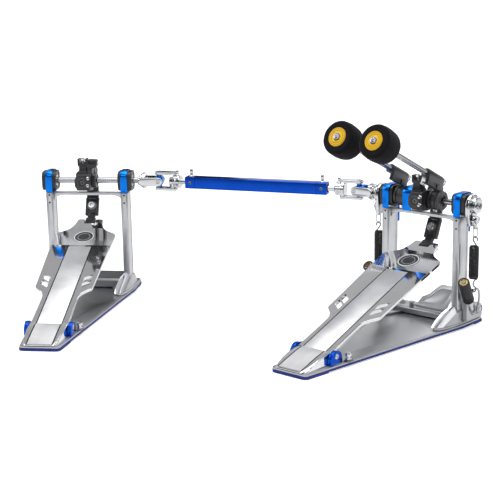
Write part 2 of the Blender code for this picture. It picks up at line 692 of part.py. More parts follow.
def tension_knob(name, body):
    """A long grip on a tapered stem, turned about its own axis. Local Z runs up to its end face."""
    length = (KNOB_TOP - KNOB_LOW).length / mm
    profile = [(0, length), (6.3, length), (6.3, length - 1.2), (6.3, length - 1.2), (6.8, length),
               (8.2, length - 1), (8.2, length - 34), (7.4, length - 35), (7.4, length - 37),
               (8.2, length - 38), (8.2, length - 42), (6.2, length - 44.5), (3.6, 6), (4.2, 3),
               (3.2, -1), (0, -1.6)]
    seen = [profile[0]]
    for point in profile[1:]:
        if point != seen[-1]:
            seen.append(point)
    return finish(turned(body, scaled(seen), (0, 0, 0), (0, 0, 0), 16), name, "black")


# ---------------------------------------------------------------- hoop clamp
def hoop_clamp_jaw(name, body):
    """The upper jaw that closes on the drum's hoop, hinged on a pin across the cross foot."""
    lift = math.radians(31.6)
    shape = [(-10, 0), (37, 0), (37, 40), (31, 45.5), (13, 45.5), (5, 39), (-1, 24), (-9, 16)]
    bm = bmesh.new()
    verts = [bm.verts.new((x * mm, v * mm, 0)) for x, v in shape]
    face = bm.faces.new(verts)
    grown = bmesh.ops.extrude_face_region(bm, geom=[face])
    top = [item for item in grown["geom"] if isinstance(item, bmesh.types.BMVert)]
    bmesh.ops.translate(bm, vec=(0, 0, 4 * mm), verts=top)
    bmesh.ops.recalc_face_normals(bm, faces=bm.faces)
    plate = mesh_object(bm, body, body.space + Matrix.Rotation(lift, 3, "X") @ Vector((0, 0, -2 * mm)),
                        (lift, 0, 0))
    barrel = cylinder(body, JAW_PIN + Vector((-10, 0, 0)) * mm, JAW_PIN + Vector((37, 0, 0)) * mm, 3.2 * mm,
                      segments=16)
    pin = cylinder(body, JAW_PIN + Vector((-22, 0, 0)) * mm, JAW_PIN + Vector((44, 0, 0)) * mm, 2.4 * mm,
                   segments=16)
    return finish(join(plate, barrel, pin), name, "aluminium")


# ---------------------------------------------------------------- drive shaft
EAR_INNER, EAR_OUTER = 10 * mm, 14.6 * mm


def yoke_ears(body):
    """Two ears beside the joint's centre, holed along local Z, and the flange that joins them."""
    shape = capsule((0, 0), (24 * mm, 0), 6.6 * mm)
    ears = [outline(body, "XY", shape, low, high)
            for low, high in ((EAR_INNER, EAR_OUTER), (-EAR_OUTER, -EAR_INNER))]
    flange = cylinder(body, (21 * mm, 0, 0), (27 * mm, 0, 0), 12.6 * mm)
    join(flange, *ears)
    return flange


def pin_holes(body, radius):
    return cylinder(body, (0, 0, -20 * mm), (0, 0, 20 * mm), radius, segments=16)


def axle_yoke(name, body):
    """The yoke that clamps on an axle. Local X runs from the joint's centre to the axle."""
    yoke = yoke_ears(body)
    join(yoke, cylinder(body, (26 * mm, 0, 0), (33.5 * mm, 0, 0), 7.6 * mm))
    bore = cylinder(body, (15 * mm, 0, 0), (40 * mm, 0, 0), BORE_RADIUS)
    return finish(cut(yoke, bore, pin_holes(body, 3.1 * mm)), name, "chrome")


def rod_yoke(name, body, block_start, block_end):
    """The yoke on the drive shaft's side, with its rod and the square block inside the tube."""
    yoke = yoke_ears(body)
    hub = cylinder(body, (26 * mm, 0, 0), (36.5 * mm, 0, 0), 10.4 * mm)
    rod = cylinder(body, (36 * mm, 0, 0), (block_start + mm, 0, 0), ROD_RADIUS + 0.3 * mm, segments=20)
    half = TUBE_SIDE / 2 - 3.4 * mm
    block = box(body, (block_start, -half, -half), (block_end, half, half))
    join(yoke, hub, rod, block)
    return finish(cut(yoke, pin_holes(body, 3.6 * mm)), name, "chrome")


def joint_cross(name, body):
    """The spider between two yokes. Its long pin is local Y, its other pin local Z."""
    core = box(body, (-6 * mm,) * 3, (6 * mm,) * 3)
    pins = [cylinder(body, (0, -14.9 * mm, 0), (0, 14.9 * mm, 0), 2.7 * mm, segments=16),
            cylinder(body, (0, 0, -14.4 * mm), (0, 0, 14.4 * mm), 2.4 * mm, segments=16)]
    return finish(join(core, *pins), name, "blue")


def drive_tube(name, body, length):
    outer = box(body, (TUBE_START, -TUBE_SIDE / 2, -TUBE_SIDE / 2),
                (TUBE_START + length, TUBE_SIDE / 2, TUBE_SIDE / 2))
    half = TUBE_SIDE / 2 - 3 * mm
    inner = box(body, (TUBE_START - mm, -half, -half), (TUBE_START + length + mm, half, half))
    return finish(cut(outer, inner), name, "blue")


# ---------------------------------------------------------------- assembly
def build_pedal(prefix, frame, is_main):
    """Everything that the two pedals share."""
    rubber_sheet(prefix + "_rubber_sheet", frame)
    base_plate(prefix + "_base_plate", frame)
    cross_foot(prefix + "_cross_foot", frame, is_main)
    heel_plate(prefix + "_heel_plate", frame)
    heel_hinge(prefix + "_heel_hinge", frame)
    crossbar(prefix + "_crossbar", frame)
    for side, word in ((-1, "_left"), (1, "_right")):
        post(prefix + word + "_post", frame, side)
        low, high = sorted((side * 50 * mm, side * 71.5 * mm))
        bearing_housing(prefix + word + "_bearing_housing", frame, low, high)
        low, high = sorted((side * 54.6 * mm, side * 65.6 * mm))
        tongue = sorted((side * 57.2 * mm, side * 62.8 * mm))
        bearing_band(prefix + word + "_bearing_band", frame, low, high, tongue)

    board = Body(prefix + "_footboard", frame, HEEL_PIN, (BOARD_SLOPE, 0, 0))
    footboard(prefix + "_footboard", board)
    toe = toe_pin()
    link(prefix + "_link", Body(prefix + "_link", frame, toe, space=toe))

    centre = (0, 0, AXLE_HEIGHT)
    axle = Body(prefix + "_axle", frame, centre, space=centre)
    ends = (-22.6, 88) if is_main else (-73, 88)
    shaft = cylinder(axle, (ends[0] * mm, 0, AXLE_HEIGHT), (ends[1] * mm, 0, AXLE_HEIGHT), AXLE_RADIUS)
    finish(shaft, prefix + "_axle", "aluminium")
    drive_hub(prefix + "_drive_hub", axle, (-14.7 if is_main else -16) * mm, not is_main)
    return axle


def build_main_extras(frame, axle):
    bearing_housing("main_centre_bearing_housing", frame, -31 * mm, -15.2 * mm)
    bearing_band("main_centre_bearing_band", frame, -30.4 * mm, -15.8 * mm)
    centre = (0, 0, AXLE_HEIGHT)
    left = Body("left_shaft", frame, centre, space=centre)
    shaft = cylinder(left, (-96 * mm, 0, AXLE_HEIGHT), (-23.3 * mm, 0, AXLE_HEIGHT), AXLE_RADIUS)
    finish(shaft, "left_beater_shaft", "aluminium")

    right_beater = Body("right_beater", axle, (0, 0, 0), (BEATER_LEAN, 0, 0))
    left_beater = Body("left_beater", left, (0, 0, 0), (BEATER_LEAN, 0, 0))
    beater_holder("right_beater_holder", right_beater, RIGHT_ROD_X, 8.4 * mm, 20.6 * mm, True)
    beater_holder("left_beater_holder", left_beater, LEFT_ROD_X, -49.6 * mm, -31.4 * mm, False)
    for beater, word, rod_x in ((right_beater, "right", RIGHT_ROD_X), (left_beater, "left", LEFT_ROD_X)):
        beater_rod(word + "_beater_rod", beater, rod_x)
        beater_head(word + "_beater_head", beater, rod_x)

    for side, word, body in ((-1, "left", left), (1, "right", axle)):
        spring_lever(word + "_spring_lever", body, side)
        foot = Vector((side * SPRING_X, SPRING_Y, 59 * mm))
        spring = Body(word + "_spring", frame, foot, space=foot)
        return_spring(word + "_return_spring", spring, side)
        spring_hook(word + "_spring_hook", spring, side)
        spring_bracket(word + "_spring_bracket", frame, side)
        low = Vector((side * KNOB_LOW.x, KNOB_LOW.y, KNOB_LOW.z))
        top = Vector((side * KNOB_TOP.x, KNOB_TOP.y, KNOB_TOP.z))
        lean = Vector((0, 0, 1)).rotation_difference(top - low).to_euler()
        tension_knob(word + "_tension_knob", Body(word + "_knob", frame, low, lean))

    hoop_clamp_jaw("hoop_clamp_jaw", Body("hoop_clamp_jaw", frame, JAW_PIN, space=JAW_PIN))
    return left


def build_drive(main_frame, slave_frame, left_shaft, slave_axle):
    """Universal joints, rods and tube from the slave axle to the left beater's shaft."""
    main_centre = Vector((MAIN_JOINT_X, 0, AXLE_HEIGHT))
    slave_centre = SLAVE_ORIGIN + Matrix.Rotation(SLAVE_YAW, 3, "Z") @ Vector((SLAVE_JOINT_X, 0, AXLE_HEIGHT))
    along = main_centre - slave_centre
    heading = math.atan2(along.y, along.x)
    quarter = math.pi / 2

    main_yoke = Body("main_axle_yoke", left_shaft, (MAIN_JOINT_X, 0, 0), (quarter, 0, 0))
    axle_yoke("main_axle_yoke", main_yoke)
    joint_cross("main_joint_cross", Body("main_joint_cross", left_shaft, (MAIN_JOINT_X, 0, 0)))
    slave_yoke = Body("slave_axle_yoke", slave_axle, (SLAVE_JOINT_X, 0, 0), Euler((quarter, 0, math.pi)))
    axle_yoke("slave_axle_yoke", slave_yoke)
    joint_cross("slave_joint_cross", Body("slave_joint_cross", slave_axle, (SLAVE_JOINT_X, 0, 0)))

    near_main = Body("main_rod", main_frame, main_centre, (0, 0, heading + math.pi))
    rod_yoke("main_rod_yoke", near_main, 92 * mm, 128 * mm)
    local_heading = heading - SLAVE_YAW
    near_slave = Body("slave_rod", slave_frame, (SLAVE_JOINT_X, 0, AXLE_HEIGHT), (0, 0, local_heading))
    rod_yoke("slave_rod_yoke", near_slave, TUBE_START + 2 * mm, TUBE_START + 30 * mm)
    drive_tube("drive_tube", near_slave, along.length - TUBE_START - TUBE_MAIN_GAP)


def build():
    main_frame = Body("main_frame")
    slave_frame = Body("slave_frame", None, SLAVE_ORIGIN, (0, 0, SLAVE_YAW))
    main_axle = build_pedal("main", main_frame, True)
    slave_axle = build_pedal("slave", slave_frame, False)
    left_shaft = build_main_extras(main_frame, main_axle)
    build_drive(main_frame, slave_frame, left_shaft, slave_axle)


build()
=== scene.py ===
"""Looks of the double bass drum pedal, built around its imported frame.

Lengths are millimetres, and K turns them into metres. +X runs to the drummer's right, +Y to the drum.
"""

import math

import bmesh
import bpy
import numpy as np
from mathutils import Matrix, Vector, noise


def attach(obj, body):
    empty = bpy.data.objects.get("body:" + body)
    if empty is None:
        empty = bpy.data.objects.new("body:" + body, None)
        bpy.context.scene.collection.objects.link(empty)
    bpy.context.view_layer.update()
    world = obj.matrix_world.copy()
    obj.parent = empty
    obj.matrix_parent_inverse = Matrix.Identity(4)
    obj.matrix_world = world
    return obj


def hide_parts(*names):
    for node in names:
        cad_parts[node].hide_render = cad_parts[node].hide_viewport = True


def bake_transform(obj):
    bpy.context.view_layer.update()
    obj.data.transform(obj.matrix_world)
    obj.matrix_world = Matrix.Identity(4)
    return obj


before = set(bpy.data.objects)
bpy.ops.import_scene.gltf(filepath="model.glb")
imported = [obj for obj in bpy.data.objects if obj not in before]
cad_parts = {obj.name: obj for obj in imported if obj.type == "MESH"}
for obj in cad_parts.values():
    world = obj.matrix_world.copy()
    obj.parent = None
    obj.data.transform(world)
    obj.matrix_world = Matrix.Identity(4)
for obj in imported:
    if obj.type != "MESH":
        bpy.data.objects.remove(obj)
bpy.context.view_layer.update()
K = 0.001

AXLE_Z = 180
AXLE_RADIUS = 4.6
POST_X = 60
POST_HOLES = (158.8, 146.8)         # heights above the floor
SIDES = ((-1, "left"), (1, "right"))
BOARD_SLOPE = math.radians(19.2)    # rise to the toe, at rest
HEEL_PIN = (0, -260.5, 18)
BOARD_START = -1.63                 # heel edge, along the board from the heel pin
BOARD_TOP = 5.65                    # top face, across the board from the heel pin
MEDALLION_ALONG = 231.5             # from the board's heel edge, also the middle of the trough
TROUGH_RADIUS = 390                 # of the shallow hollow across the board's toe
TROUGH_DEPTH = 0.8
CRANK_PIN = (21, 191)               # in Y and Z
TOE_PIN = (-0.66, 109.17)           # in Y and Z
BEATER_LEAN = math.radians(64.3)    # from upright to the drummer's side, at rest
ROD_OFFSET = 28.4                   # from the axle's axis to a rod's axis
RIGHT_ROD_X = 14
LEFT_ROD_X = -46
HEAD_END = 182.7                    # outer face of a beater head, along its rod
PIN_CAP = 14.7                      # outer faces of the joints' ears, from the joint's centre
SLAVE_YAW = math.radians(33.82)
SPRING_X, SPRING_Y = 81, -2         # the right spring's upright line


# ------------------------------------------------------------------ frames of the moving groups
def shift(x, y, z):
    return Matrix.Translation(Vector((x, y, z)) * K)


def turn(degrees, axis):
    return Matrix.Rotation(math.radians(degrees), 4, axis)


MAIN = Matrix.Identity(4)
SLAVE = shift(-512.6, -183.7, 0) @ Matrix.Rotation(SLAVE_YAW, 4, "Z")
BOARD = shift(*HEEL_PIN) @ Matrix.Rotation(BOARD_SLOPE, 4, "X")
BEATER = shift(0, 0, AXLE_Z) @ Matrix.Rotation(BEATER_LEAN, 4, "X")
MAIN_JOINT = Vector((-118.5, 0, AXLE_Z))
SLAVE_JOINT = (SLAVE @ Vector((0.114, 0, 0.18))) / K
SHAFT_LENGTH = (MAIN_JOINT - SLAVE_JOINT).length
SHAFT_YAW = math.atan2(MAIN_JOINT.y - SLAVE_JOINT.y, MAIN_JOINT.x - SLAVE_JOINT.x)
TUBE = shift(*SLAVE_JOINT) @ Matrix.Rotation(SHAFT_YAW, 4, "Z")
INNER = shift(*MAIN_JOINT) @ Matrix.Rotation(SHAFT_YAW + math.pi, 4, "Z")


# ------------------------------------------------------------------ geometry helpers
def span(side, near, far):
    """Low and high X of a stretch on one side of the middle."""
    return sorted((side * near, side * far))


def raw(bm, outward=True):
    """An object from a bmesh, with its normals turned outward unless they are already right."""
    if outward:
        bmesh.ops.recalc_face_normals(bm, faces=bm.faces)
    mesh = bpy.data.meshes.new("shape")
    bm.to_mesh(mesh)
    bm.free()
    return linked(mesh)


def linked(mesh):
    obj = bpy.data.objects.new("shape", mesh)
    bpy.context.scene.collection.objects.link(obj)
    return obj


def apply(obj):
    """Bake an object's modifiers into its mesh."""
    if obj.modifiers:
        bpy.context.view_layer.update()
        made = bpy.data.meshes.new_from_object(obj.evaluated_get(bpy.context.evaluated_depsgraph_get()))
        obj.modifiers.clear()
        obj.data = made
    return obj


def bevel(obj, width, segments=2, angle=30):
    """Ease the edges sharper than the angle."""
    modifier = obj.modifiers.new("Bevel", "BEVEL")
    modifier.width = width * K
    modifier.segments = segments
    modifier.limit_method = "ANGLE"
    modifier.angle_limit = math.radians(angle)
    modifier.harden_normals = False
    return obj


def to3(plane, u, v, w):
    return {"XY": (u, v, w), "XZ": (u, w, v), "YZ": (w, u, v)}[plane]


def skin(bm, near, far):
    """Faces between two closed rows of vertices."""
    count = len(near)
    for i in range(count):
        j = (i + 1) % count
        bm.faces.new((near[i], near[j], far[j], far[i]))


def ext(plane, points, low, high, edge=0.0, segments=2):
    """A flat outline made solid across its plane, with eased edges."""
    bm = bmesh.new()
    near = [bm.verts.new(Vector(to3(plane, u, v, low)) * K) for u, v in points]
    far = [bm.verts.new(Vector(to3(plane, u, v, high)) * K) for u, v in points]
    bm.faces.new(near)
    bm.faces.new(far)
    skin(bm, near, far)
    obj = raw(bm)
    if edge:
        apply(bevel(obj, edge, segments))
    return obj


def box(low, high, edge=0.0, segments=2):
    (x0, y0, z0), (x1, y1, z1) = low, high
    return ext("XY", [(x0, y0), (x1, y0), (x1, y1), (x0, y1)], z0, z1, edge, segments)


def between(start, end):
    """Matrix whose Z runs from start to end, with its origin at start."""
    start, end = Vector(start), Vector(end)
    rotation = Vector((0, 0, 1)).rotation_difference(end - start).to_matrix().to_4x4()
    return Matrix.Translation(start * K) @ rotation


def rev(profile, start=(0, 0, 0), end=(0, 0, 1), steps=40):
    """A turned solid. The profile is (radius, height) along the line from start to end."""
    bm = bmesh.new()
    rows = []
    for radius, height in profile:
        if radius < 1e-6:
            rows.append([bm.verts.new((0, 0, height * K))])
        else:
            rows.append([bm.verts.new((radius * math.cos(a) * K, radius * math.sin(a) * K, height * K))
                         for a in np.linspace(0, 2 * math.pi, steps, endpoint=False)])
    for near, far in zip(rows, rows[1:]):
        for i in range(steps):
            j = (i + 1) % steps
            corners = [near[i % len(near)], near[j % len(near)], far[j % len(far)], far[i % len(far)]]
            unique = list(dict.fromkeys(corners))
            if len(unique) > 2:
                bm.faces.new(unique)
    for row in (rows[0], rows[-1]):
        if len(row) > 1:
            bm.faces.new(row)
    obj = raw(bm)
    obj.data.transform(between(start, end))
    return obj


def cyl(start, end, radius, edge=0.3, steps=40):
    """A round bar with eased ends."""
    length = (Vector(end) - Vector(start)).length
    e = min(edge, length / 3)
    if e:
        profile = [(0, 0), (radius - e, 0), (radius, e), (radius, length - e), (radius - e, length),
                   (0, length)]
    else:
        profile = [(0, 0), (radius, 0), (radius, length), (0, length)]
    return rev(profile, start, end, steps)


def torus(centre, direction, radius, wire, steps=40, sides=12):
    bm = bmesh.new()
    rows = []
    for a in np.linspace(0, 2 * math.pi, steps, endpoint=False):
        rows.append([bm.verts.new(Vector(((radius + wire * math.cos(b)) * math.cos(a),
                                          (radius + wire * math.cos(b)) * math.sin(a),
                                          wire * math.sin(b))) * K)
                     for b in np.linspace(0, 2 * math.pi, sides, endpoint=False)])
    for i in range(steps):
        for j in range(sides):
            bm.faces.new((rows[i][j], rows[(i + 1) % steps][j],
                          rows[(i + 1) % steps][(j + 1) % sides], rows[i][(j + 1) % sides]))
    obj = raw(bm)
    obj.data.transform(between(centre, Vector(centre) + Vector(direction)))
    return obj


def wire(points, radius, sides=10, closed=False):
    """A round wire along a line of points."""
    data = bpy.data.curves.new("wire", "CURVE")
    data.dimensions = "3D"
    data.bevel_depth = radius * K
    data.bevel_resolution = max(0, sides // 4)
    data.use_fill_caps = True
    spline = data.splines.new("POLY")
    spline.points.add(len(points) - 1)
    for target, point in zip(spline.points, points):
        target.co = (*(Vector(point) * K), 1)
    spline.use_cyclic_u = closed
    curve = bpy.data.objects.new("wire", data)
    bpy.context.scene.collection.objects.link(curve)
    bpy.context.view_layer.update()
    mesh = bpy.data.meshes.new_from_object(curve.evaluated_get(bpy.context.evaluated_depsgraph_get()))
    bpy.data.objects.remove(curve, do_unlink=True)
    return linked(mesh)


def smooth_path(points, steps=8):
    """A Catmull-Rom line through the points."""
    points = [Vector(p) for p in points]
    padded = [points[0]] + points + [points[-1]]
    line = []
    for a, b, c, d in zip(padded, padded[1:], padded[2:], padded[3:]):
        for t in np.linspace(0, 1, steps, endpoint=False):
            line.append(0.5 * (2 * b + (c - a) * t + (2 * a - 5 * b + 4 * c - d) * t * t
                               + (3 * b - a - 3 * c + d) * t ** 3))
    return line + [points[-1]]


def hull(points, edge=0.0, segments=3):
    """The convex solid around the points, with eased edges."""
    bm = bmesh.new()
    for point in points:
        bm.verts.new(Vector(point) * K)
    bmesh.ops.convex_hull(bm, input=bm.verts)
    bmesh.ops.dissolve_limit(bm, angle_limit=math.radians(4), verts=bm.verts, edges=bm.edges)
    obj = raw(bm)
    if edge:
        apply(bevel(obj, edge, segments, 15))
    return obj


def loft(stations, sections):
    """A solid through one outline in X and Z at each Y station."""
    bm = bmesh.new()
    rows = [[bm.verts.new(Vector((x, y, z)) * K) for x, z in section]
            for y, section in zip(stations, sections)]
    for near, far in zip(rows, rows[1:]):
        skin(bm, near, far)
    bm.faces.new(rows[0])
    bm.faces.new(rows[-1])
    return raw(bm)


def boolean(obj, operation, cutters):
    for other in cutters:
        modifier = obj.modifiers.new(operation, "BOOLEAN")
        modifier.operation = operation
        modifier.solver = "EXACT"
        modifier.object = other
    apply(obj)
    for other in cutters:
        bpy.data.objects.remove(other, do_unlink=True)
    return obj


def cut(obj, *cutters):
    return boolean(obj, "DIFFERENCE", cutters)


def union(obj, *others):
    return boolean(obj, "UNION", others)


def join(*objs):
    """Several shapes kept as one mesh, without cutting them together."""
    bm = bmesh.new()
    for obj in objs:
        apply(obj)
        bm.from_mesh(obj.data)
    for obj in objs:
        bpy.data.objects.remove(obj, do_unlink=True)
    return raw(bm, outward=False)


def arc(centre, radii, start, end, steps):
    """Points on an ellipse from one angle to another, in degrees."""
    angles = np.radians(np.linspace(start, end, steps))
    return [(centre[0] + radii[0] * math.cos(a), centre[1] + radii[1] * math.sin(a)) for a in angles]


def mirrored(points):
    """A right half's outline with its left half added."""
    return points + [(-x, y) for x, y in reversed(points)]


def capsule(start, end, radius, steps=13):
    """The outline of a bar with round ends."""
    start, end = Vector(start), Vector(end)
    angle = math.degrees(math.atan2(end[1] - start[1], end[0] - start[0]))
    return (arc(end, (radius, radius), angle - 90, angle + 90, steps)
            + arc(start, (radius, radius), angle + 90, angle + 270, steps))


def rounded(half_u, half_v, radius, centre=(0, 0), steps=6):
    """A rectangle with round corners."""
    points = []
    for quarter, (u, v) in enumerate(((1, 1), (-1, 1), (-1, -1), (1, -1))):
        middle = (centre[0] + u * (half_u - radius), centre[1] + v * (half_v - radius))
        points += arc(middle, (radius, radius), 90 * quarter, 90 * quarter + 90, steps)
    return points


def add(obj, name, material, body, at=MAIN, node=None, smooth=35):
    """Finish a piece: place it, give it its material and let it ride on its body."""
    apply(obj)
    obj.name = name
    obj.data.name = name
    obj.data.transform(at)
    if at.determinant() < 0:
        obj.data.flip_normals()
    obj.data.materials.clear()
    obj.data.materials.append(MATERIALS[material])
    obj.data.shade_smooth()
    obj.data.set_sharp_from_angle(angle=math.radians(smooth))
    if isinstance(body, str):
        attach(obj, body)
    else:
        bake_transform(obj)
    if node:
        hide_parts(name if node is True else node)
    return obj


def placer(prefix, body, at=MAIN):
    """A function that adds pieces to one body, with names that start with the prefix. A piece
    whose node is True stands for the CAD node of its own name."""
    def put(obj, name, material, node=None, smooth=35):
        return add(obj, f"{prefix}_{name}", material, body, at, node, smooth)
    return put


# ------------------------------------------------------------------ materials
class Nodes:
    """A small builder for node materials."""

    def __init__(self, name):
        self.material = bpy.data.materials.new(name)
        self.material.use_nodes = True
        self.tree = self.material.node_tree
        self.shader = self.tree.nodes["Principled BSDF"]
        self.where = self.new("ShaderNodeTexCoord").outputs["Object"]

    def new(self, kind, **inputs):
        node = self.tree.nodes.new(kind)
        for key, value in inputs.items():
            self.put(node.inputs[key.replace("_", " ")], value)
        return node

    def put(self, socket, value):
        if isinstance(value, bpy.types.NodeSocket):
            self.tree.links.new(value, socket)
        else:
            socket.default_value = value

    def set(self, **inputs):
        for key, value in inputs.items():
            self.put(self.shader.inputs[key.replace("_", " ")], value)

    def noise(self, scale, detail=3, stretch=None, roughness=0.5):
        source = self.where
        if stretch:
            mapping = self.new("ShaderNodeMapping", Vector=source)
            mapping.inputs["Scale"].default_value = stretch
            source = mapping.outputs[0]
        node = self.new("ShaderNodeTexNoise", Vector=source, Scale=scale, Detail=detail, Roughness=roughness)
        return node.outputs["Fac"]

    def range(self, value, low, high, start=0.3, stop=0.7):
        node = self.new("ShaderNodeMapRange", Value=value)
        for key, number in (("From Min", start), ("From Max", stop), ("To Min", low), ("To Max", high)):
            node.inputs[key].default_value = number
        return node.outputs[0]

    def mix(self, factor, first, second):
        node = self.tree.nodes.new("ShaderNodeMix")
        node.data_type = "RGBA"
        self.put(node.inputs[0], factor)
        self.put(node.inputs[6], first)
        self.put(node.inputs[7], second)
        return node.outputs[2]

    def bump(self, height, strength=0.2, distance=0.0002, normal=None):
        node = self.new("ShaderNodeBump", Height=height, Strength=strength, Distance=distance)
        if normal is not None:
            self.put(node.inputs["Normal"], normal)
        return node.outputs[0]

    def edges(self, low, high):
        """Worn edges: 1 on convex edges."""
        geometry = self.new("ShaderNodeNewGeometry")
        return self.range(geometry.outputs["Pointiness"], 0, 1, low, high)


def rgb(r, g, b):
    return (r, g, b, 1)


def metal(name, colour, roughness, grain=0.06, streak=None, speck=900, bump=0.05, dark=0.85):
    """Metal with broad darker patches, uneven roughness and a fine, possibly streaked grain."""
    m = Nodes(name)
    broad = m.noise(28, 4)
    fine = m.noise(speck, 3, streak)
    shade = m.mix(m.range(broad, 0, 1, 0.35, 0.65), rgb(*[c * dark for c in colour]), rgb(*colour))
    rough = m.new("ShaderNodeMath")
    rough.operation = "ADD"
    m.put(rough.inputs[0], m.range(broad, -grain / 2, grain / 2))
    m.put(rough.inputs[1], m.range(fine, roughness - grain / 2, roughness + grain / 2))
    m.set(Base_Color=shade, Metallic=1.0, Roughness=rough.outputs[0],
          Normal=m.bump(fine, bump, 0.00005))
    return m.material


METALS = {
    "satin": ("satin aluminium", (0.56, 0.57, 0.59), 0.31,
              dict(grain=0.03, streak=(1, 0.06, 1), bump=0.08, dark=0.96)),
    "cast": ("painted casting", (0.54, 0.55, 0.57), 0.34,
             dict(grain=0.04, speck=1400, bump=0.10, dark=0.95)),
    "post": ("post aluminium", (0.70, 0.71, 0.73), 0.33, dict(streak=(1, 1, 0.05), bump=0.06)),
    "polished": ("polished aluminium", (0.90, 0.90, 0.92), 0.07, dict(grain=0.04, bump=0.015, dark=0.96)),
    "tread": ("tread", (0.90, 0.90, 0.91), 0.42, dict(grain=0.05, streak=(1, 0.03, 1), bump=0.05)),
    "chrome": ("chrome", (0.74, 0.75, 0.77), 0.07, dict(grain=0.03, bump=0.01, dark=0.95)),
    "rod": ("ground steel rod", (0.50, 0.51, 0.53), 0.20, dict(grain=0.04, bump=0.02, dark=0.95)),
    "dark_chrome": ("dark chrome", (0.26, 0.27, 0.30), 0.08, dict(grain=0.03, bump=0.01, dark=0.95)),
    "medallion": ("medallion field", (0.10, 0.105, 0.12), 0.34, dict(grain=0.05, bump=0.03, dark=0.95)),
    "steel": ("brushed steel", (0.66, 0.66, 0.68), 0.24, dict(grain=0.08, speck=1600, bump=0.05)),
    "dark_steel": ("dark steel", (0.20, 0.20, 0.21), 0.32, dict(grain=0.1, bump=0.08)),
    "brass": ("brass", (0.42, 0.29, 0.12), 0.25, dict(grain=0.1, bump=0.05)),
    "deep_blue": ("deep blue anodised", (0.008, 0.085, 0.60), 0.20,
                  dict(grain=0.06, speck=1500, bump=0.04)),
    "blue": ("blue anodised", (0.008, 0.23, 0.92), 0.22, dict(grain=0.06, speck=1500, bump=0.04)),
}


def matte(name, patch, first, second, grain, rough, bump=None, **more):
    """Plastic, rubber or enamel: two near shades in patches, and a fine grain in its roughness."""
    m = Nodes(name)
    m.set(Base_Color=m.mix(m.range(m.noise(patch), 0, 1), rgb(*first), rgb(*second)),
          Roughness=m.range(m.noise(*grain), *rough), **more)
    if bump:
        pits, strength, distance = bump
        m.set(Normal=m.bump(m.noise(*pits), strength, distance))
    return m.material


MATTES = {
    # The darker yellow below is painted shade for the rings in the beater discs' grooves.
    "shaded_yellow": ("painted groove shade on yellow plastic", 300, (0.42, 0.20, 0.002), (0.52, 0.26, 0.004), (900,), (0.3, 0.4)),
    "rubber": ("blue rubber", 90, (0.008, 0.022, 0.20), (0.014, 0.040, 0.30), (1200, 4), (0.5, 0.7),
               ((1200, 4), 0.3, 0.0001)),
    "yellow": ("yellow plastic", 300, (0.95, 0.54, 0.002), (1.0, 0.66, 0.004), (900,), (0.28, 0.38),
               ((700,), 0.06, 0.0001)),
    "grip": ("black plastic", 120, (0.008, 0.008, 0.009), (0.018, 0.018, 0.020), (1500,), (0.42, 0.55),
             ((1500,), 0.2, 0.00008)),
    "white": ("white enamel", 400, (0.86, 0.87, 0.88), (0.93, 0.93, 0.94), (900,), (0.25, 0.35)),
}
GLOSS = {"yellow": dict(Coat_Weight=0.3, Coat_Roughness=0.12)}


def make_materials():
    made = {key: metal(name, colour, roughness, **rest)
            for key, (name, colour, roughness, rest) in METALS.items()}
    made.update({key: matte(*values, **GLOSS.get(key, {})) for key, values in MATTES.items()})

    m = Nodes("satin black paint")
    fine = m.noise(1700, 2)
    broad = m.noise(60, 4)
    worn = m.edges(0.53, 0.62)
    base = m.mix(m.range(broad, 0, 1), rgb(0.016, 0.016, 0.018), rgb(0.030, 0.030, 0.033))
    m.set(Base_Color=m.mix(worn, base, rgb(0.09, 0.09, 0.095)), Metallic=0.35,
          Roughness=m.range(broad, 0.30, 0.42), Normal=m.bump(fine, 0.15, 0.00006))
    m.set(Coat_Weight=0.25, Coat_Roughness=0.25)
    made["black"] = m.material

    m = Nodes("black felt")
    fibre = m.noise(2600, 4, (1, 1, 0.35), 0.7)
    clump = m.noise(240, 4, None, 0.6)
    base = m.mix(m.range(fibre, 0, 1), rgb(0.002, 0.002, 0.0025), rgb(0.014, 0.014, 0.016))
    m.set(Base_Color=base, Roughness=0.97, Sheen_Weight=0.12, Sheen_Roughness=0.5,
          Normal=m.bump(fibre, 0.7, 0.0004, m.bump(clump, 0.5, 0.0008)))
    m.shader.inputs["Sheen Tint"].default_value = rgb(0.5, 0.5, 0.55)
    m.set(Specular_IOR_Level=0.15)
    made["felt"] = m.material

    # Painted shade: a near-black colour for holes, grooves and gaps, where only shade falls.
    m = Nodes("painted recess shade")
    m.set(Base_Color=m.mix(m.range(m.noise(500), 0, 1), rgb(0.002, 0.002, 0.003), rgb(0.010, 0.010, 0.012)),
          Roughness=0.7, Specular_IOR_Level=0.2)
    made["shadow"] = m.material

    return made


MATERIALS = make_materials()


# ------------------------------------------------------------------ small fasteners
def hex_points(radius):
    return [(radius * math.cos(math.radians(60 * i)), radius * math.sin(math.radians(60 * i)))
            for i in range(6)]


def place_along(obj, start, direction):
    obj.data.transform(between(start, Vector(start) + Vector(direction)))
    return obj


def socket_bolt(start, direction, radius, height, hole=0.5):
    """A round head with a hexagon socket. It stands on `start`."""
    head = rev([(0, 0), (radius, 0), (radius, height - 0.5), (radius - 0.5, height), (0, height)], steps=32)
    cut(head, ext("XY", hex_points(radius * hole), height * 0.4, height + 1))
    return place_along(head, start, direction)


def hex_bolt(start, direction, radius, height):
    """A hexagon head on a washer."""
    head = ext("XY", hex_points(radius), 0, height, 0.35, 2)
    washer = rev([(0, -0.6), (radius * 1.15, -0.6), (radius * 1.15, 0.1), (0, 0.1)], steps=32)
    return place_along(join(head, washer), start, direction)


